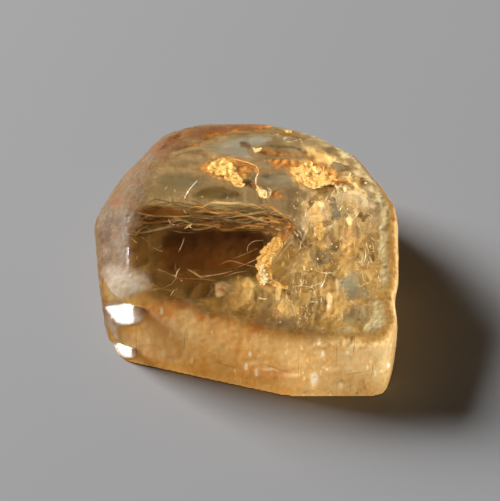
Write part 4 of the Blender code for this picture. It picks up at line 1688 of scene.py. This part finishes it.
# %% Bright threads: the small ones
SMALL_LINES = [
    # The chain of lights in front
    ("pale_gold", 0.055, 0.8, [(2.18, -1.64), (2.14, -1.82), (2.1, -1.98)]),
    ("pale_gold", 0.066, 0.7, [(0.34, -2.02), (0.56, -2.08), (0.76, -2.08)]),
    ("straw", 0.039, 0.8, [(1.54, -1.74), (1.58, -2.08), (1.42, -2.42)]),
    ("straw", 0.039, 0.8, [(1.46, -2.5), (1.36, -2.76), (1.28, -3.02)]),
    ("straw", 0.033, 0.8, [(1.92, -2.62), (1.96, -2.88)]),
    ("straw", 0.022, 0.9, [(1.76, -1.74), (1.84, -2.08)]),
    ("pale_gold", 0.044, 0.8, [(2.14, -1.26), (2.22, -1.38), (2.1, -1.56)]),
    # Curls low on the left
    ("white", 0.039, 0.6, [(-3.5, 1.34), (-3.42, 1.18), (-3.24, 1.08)]),
    ("straw", 0.044, 0.7, [(-3.34, 1.14), (-3.16, 1.04), (-3.04, 1.14)]),
    ("pale_gold", 0.066, 0.7, [(-2.82, 0.92), (-2.64, 1.04), (-2.48, 1.14)]),
    ("white", 0.028, 0.6, [(-2.86, 1.74), (-2.74, 1.6)]),
    ("straw", 0.033, 0.7, [(-5.08, 0.54), (-4.96, 0.4), (-4.82, 0.32)]),
    ("straw", 0.028, 0.8, [(-4.82, -0.2), (-4.88, -0.4)]),
    ("tawny", 0.022, 0.9, [(-4.18, -0.5), (-4.4, -0.66), (-4.58, -0.84)]),
    ("tawny", 0.022, 0.9, [(-4.18, 0.14), (-3.94, 0.02), (-3.72, -0.06)]),
    ("tawny", 0.028, 0.9, [(-5.04, 0.62), (-4.62, 0.54), (-4.28, 0.36)]),
    ("tawny", 0.028, 1.0, [(-2.3, 1.04), (-1.96, 1.14), (-1.62, 1.04)]),
    ("straw", 0.033, 0.8, [(-2.1, 2.32), (-2, 2.28)]),
    ("straw", 0.028, 0.8, [(-1.02, 2.2), (-0.94, 2.32)]),
    ("straw", 0.033, 0.7, [(-3.68, 2.58), (-3.54, 2.76)]),
    ("straw", 0.033, 0.7, [(-3.24, 2.62), (-3.2, 2.5)]),
    ("straw", 0.033, 0.5, [(-4.28, 2.24), (-4.14, 2.24)]),
    # A row at the rear rim
    ("white", 0.044, 0.3, [(1.42, 4.76), (1.58, 4.86)]),
    ("straw", 0.028, 0.3, [(1.06, 4.98), (1.24, 5.02)]),
    ("straw", 0.028, 0.4, [(1.54, 4.64), (1.8, 4.68), (2.14, 4.76)]),
    ("straw", 0.039, 0.4, [(2.14, 4.8), (2.26, 4.6)]),
    # Lines at the right rim
    ("pale_gold", 0.044, 0.3, [(3.76, 4.3), (4.02, 4.12), (4.28, 3.96)]),
    ("white", 0.044, 0.3, [(4.92, 2.92), (5.04, 2.88)]),
    ("white", 0.017, 0.2, [(5.12, 2.84), (5.38, 2.54)]),
]
bright = new_flaws()
add_threads(bright, LEFT_LINES + RIGHT_LINES + SMALL_LINES)
print("the drawn threads have", len(bright.verts), "points")

# %% [markdown]
# Short random strokes between the healed veils stand for the many edges that are too small to draw.
# Each is a slightly sagging line of three points that leans a little.

# %% Bright threads: random strokes
STROKES = 120
STROKE_STEPS = 5
STROKE_REACH = (0.06, 0.22)
STROKE_LEAN = 0.5
STROKE_SAG = 0.04
STROKE_DEPTH = (0.4, 1.2)
STROKE_WIDTH = (0.015, 0.05)
STROKE_STAINS = ("straw", "white", "pale_gold", "straw", "honey")
dice = random.Random(7)
for seed in range(STROKES):
    x, y = random_inside(CRACKLED, dice)
    reach, lean = dice.uniform(*STROKE_REACH), dice.gauss(0, STROKE_LEAN)
    way = Vector((math.sin(lean), math.cos(lean))) * reach
    sag = dice.uniform(-STROKE_SAG, STROKE_SAG)
    stain = dice.choice(STROKE_STAINS)
    line = [(x - way.x, y - way.y), (x + sag, y + sag), (x + way.x, y + way.y)]
    depth, width = dice.uniform(*STROKE_DEPTH), dice.uniform(*STROKE_WIDTH)
    thread(bright, line, depth, stain, width, STROKE_STEPS, seed=seed)
seal_in("bright_threads", bright, BRIGHT)

# %% [markdown]
# The frosted front has a small pit and a few fine cracks. They are threads a hair above the skin,
# which is what a negative depth means, and they are thin enough to let the glow through.

# %% Cracks in the frost
ON_SKIN = -0.012
CRACKS = [
    # A pit in the front and its crack
    ("umber", 0.12, ON_SKIN, [(4.18, -4.12), (4.32, -3.92), (4.4, -3.66)]),
    ("umber", 0.04, ON_SKIN, [(4.48, -3.56), (4.48, -4.04), (4.4, -4.6)]),
    ("umber", 0.025, ON_SKIN, [(3.72, -3.66), (3.72, -4.26), (3.68, -5.02)]),
    ("amber", 0.03, ON_SKIN, [(4.1, -5.32), (4.62, -5.24), (5.12, -5.14)]),
    ("amber", 0.03, ON_SKIN, [(5.22, -4.76), (5.26, -5.1), (5.18, -5.44)]),
    # Fine upright cracks on the left
    ("umber", 0.025, ON_SKIN, [(-4.88, -3.06), (-4.88, -4.04), (-4.82, -4.76)]),
    ("amber", 0.03, ON_SKIN, [(-2.82, -3.4), (-2.82, -4.04), (-2.86, -4.34)]),
    ("amber", 0.02, ON_SKIN, [(2.06, -4.04), (2.1, -4.68), (2.06, -5.44)]),
    # Scratches along the foot
    ("amber", 0.03, ON_SKIN, [(0.22, -4.76), (1.06, -5.02), (1.8, -5.28)]),
    ("umber", 0.03, ON_SKIN, [(-1.5, -4.76), (-0.76, -4.98), (-0.18, -5.1)]),
]
CRACK_BODY = 0.4
cracks = new_flaws()
add_threads(cracks, CRACKS, crinkle=0.0, solid=CRACK_BODY)
seal_in("cracks", cracks, FILM)

# %% [markdown]
# Last come the sparks, small mirrors that flash where a tiny split faces the light. Each is a flat
# six-sided facet turned at random. Some are drawn, with a place and a size, and the others are
# strewn through the veils. Their pale stains paint part of the flash in, and the drawn ones are
# painted glints.

# %% Sparks
DOTS = [
    (-1.02, 4.46, 0.029), (-0.94, 4, 0.024), (-2.18, 3.74, 0.024), (-2.78, 3.82, 0.024),
    (-5.04, 3.26, 0.024), (-3.64, 2.62, 0.019), (-4.24, 2.24, 0.024), (1.5, 4.86, 0.029),
    (-5.12, 1.22, 0.024), (-2.94, -1.3, 0.029), (-3.16, -1.68, 0.019), (-3.84, -2.58, 0.029),
    (-3.8, -2.5, 0.019), (2.14, -2.92, 0.048), (2.14, -3.26, 0.038), (4.66, -1.48, 0.034),
    (4.32, -0.32, 0.038), (4.1, 0.2, 0.024), (3.88, -0.5, 0.024), (2.9, -0.36, 0.038),
    (3.12, -0.24, 0.029), (2.4, -0.5, 0.029), (2.64, -0.8, 0.019), (5.9, -0.88, 0.029),
    (5.9, -2.72, 0.024), (4.36, 4.16, 0.029), (2.36, 3.78, 0.029), (2.74, 3.86, 0.024),
    (0.64, 3.86, 0.024), (2.14, 3.86, 0.024), (3.24, 4.16, 0.024), (0.64, 2.38, 0.048),
    (0.82, 2.5, 0.038), (0.56, -1.22, 0.067), (0.72, -1.04, 0.058), (0.6, -1.44, 0.038),
    (1.28, -3.06, 0.038), (2.18, -1.64, 0.029), (-1.2, 4.94, 0.029), (-0.6, 5.32, 0.024),
    (-2.3, 5.1, 0.029), (1.66, 1.22, 0.029), (-0.3, 1, 0.029), (1.88, 1.3, 0.029), (-2.56, 1, 0.038),
    (2.44, 2.84, 0.029), (4.96, 2.88, 0.034), (4.48, 1.26, 0.019), (4.06, 0.14, 0.029),
    (5.64, 0.24, 0.029), (5.52, -0.5, 0.029), (1.96, -1.56, 0.024), (1.46, -1.14, 0.024),
    (3.8, -2.98, 0.029), (4.36, 0.44, 0.019), (4.52, -0.5, 0.019), (4.7, -0.5, 0.029),
    (5.04, -0.74, 0.024), (3.42, 1.52, 0.024), (3.54, 1.08, 0.029), (4.36, 1.94, 0.029),
    (4.18, 1.78, 0.029),
]
DOT_DEPTH = 0.5
SPARKS = 600
SIDES = 6
LEAST_SPARK = 0.008
SPARK_RANGE = 0.03
FEW_LARGE = 3
SPARK_DEPTH = (0.3, 1.8)
SPARK_TILT = 0.7
SPARK_STRETCH = (0.5, 1.3)
SPARK_STAINS = ("straw", "pale_gold", "white", "honey")
dice = random.Random(11)
sparks = new_flaws()


def spark(x, y, size, depth, stain):
    """Adds one small bright facet, turned at random."""
    heart = sealed(x, y, depth)
    if heart is None:
        return
    made = bmesh.ops.create_circle(sparks, cap_ends=True, segments=SIDES, radius=size)["verts"]
    axis = Vector((dice.gauss(0, 1), dice.gauss(0, 1), dice.gauss(0, 1)))
    turn = Matrix.Rotation(dice.uniform(-SPARK_TILT, SPARK_TILT), 3, axis)
    stretch = dice.uniform(*SPARK_STRETCH)
    for vert in made:
        vert.co = heart + turn @ Vector((vert.co.x, vert.co.y * stretch, 0))
        mark(sparks, vert, stain, 1.0)


# The drawn sparks are painted glints.
for x, y, size in DOTS:
    spark(x, y, size, DOT_DEPTH, "white")
for chance in range(SPARKS):
    x, y = random_inside(CRACKLED, dice)
    stain = dice.choice(SPARK_STAINS)
    size = LEAST_SPARK + SPARK_RANGE * dice.random() ** FEW_LARGE
    spark(x, y, size, dice.uniform(*SPARK_DEPTH), stain)
seal_in("sparks", sparks, BRIGHT, smooth=False)

# %% [markdown]
# The stone rests on a plain pale grey floor. The floor lies a hair lower than the stone's base, so
# that the two don't share a plane. It isn't part of the object, and it isn't attached to the stone.

# %% Floor
FLOOR_REACH = 0.6
FLOOR_GAP = 0.01 * MM
PALE_GREY = (0.30, 0.30, 0.305)
MATT = 0.85


def floor_material():
    """A plain matt grey."""
    recipe = Recipe("floor_grey")
    sockets = {"Base Color": PALE_GREY, "Roughness": MATT}
    return recipe.finish(recipe.add("ShaderNodeBsdfPrincipled", None, sockets))


def add_floor():
    """A large flat square."""
    shape = bmesh.new()
    below = Matrix.Translation((0, 0, -FLOOR_GAP))
    bmesh.ops.create_grid(shape, x_segments=1, y_segments=1, size=FLOOR_REACH, matrix=below)
    floor = in_scene("floor", shape)
    floor.data.materials.append(floor_material())


add_floor()
print("the floor reaches", FLOOR_REACH, "m each way")

# %% [markdown]
# One soft square lamp low behind the left shoulder does most of the work. It lights the frost on
# the left from outside, and the front glows by the light that comes through the stone. A dim even
# sky fills the shadows. Clear and see-through layers lie many deep here, so light may bounce and
# pass through more often than usual.

# %% Light
LAMP_DISTANCE = 0.5
LAMP_SIZE = 0.22
LAMP_POWER = 5.5
SKY = 0.035
BOUNCES = 24
GLOSSY_BOUNCES = 12
LAYERS = 32


def add_lamp():
    """A square soft lamp that looks at the stone."""
    lamp = bpy.data.lights.new("key", "AREA")
    lamp.size = LAMP_SIZE
    lamp.energy = LAMP_POWER
    holder = bpy.data.objects.new("key", lamp)
    holder.location = TO_LAMP * LAMP_DISTANCE
    holder.rotation_euler = TO_LAMP.to_track_quat("Z", "Y").to_euler()
    bpy.context.scene.collection.objects.link(holder)


add_lamp()
world = bpy.data.worlds.new("studio")
world.use_nodes = True
world.node_tree.nodes["Background"].inputs["Color"].default_value = (1, 1, 1, 1)
world.node_tree.nodes["Background"].inputs["Strength"].default_value = SKY
bpy.context.scene.world = world
bpy.context.scene.view_settings.view_transform = "Standard"
cycles = bpy.context.scene.cycles
cycles.max_bounces = BOUNCES
cycles.transmission_bounces = BOUNCES
cycles.glossy_bounces = GLOSSY_BOUNCES
cycles.transparent_max_bounces = LAYERS
print("the lamp stands", LAMP_DISTANCE, "m away")

# %% [markdown]
# Here the script ends, and the scene goes back to the frame.
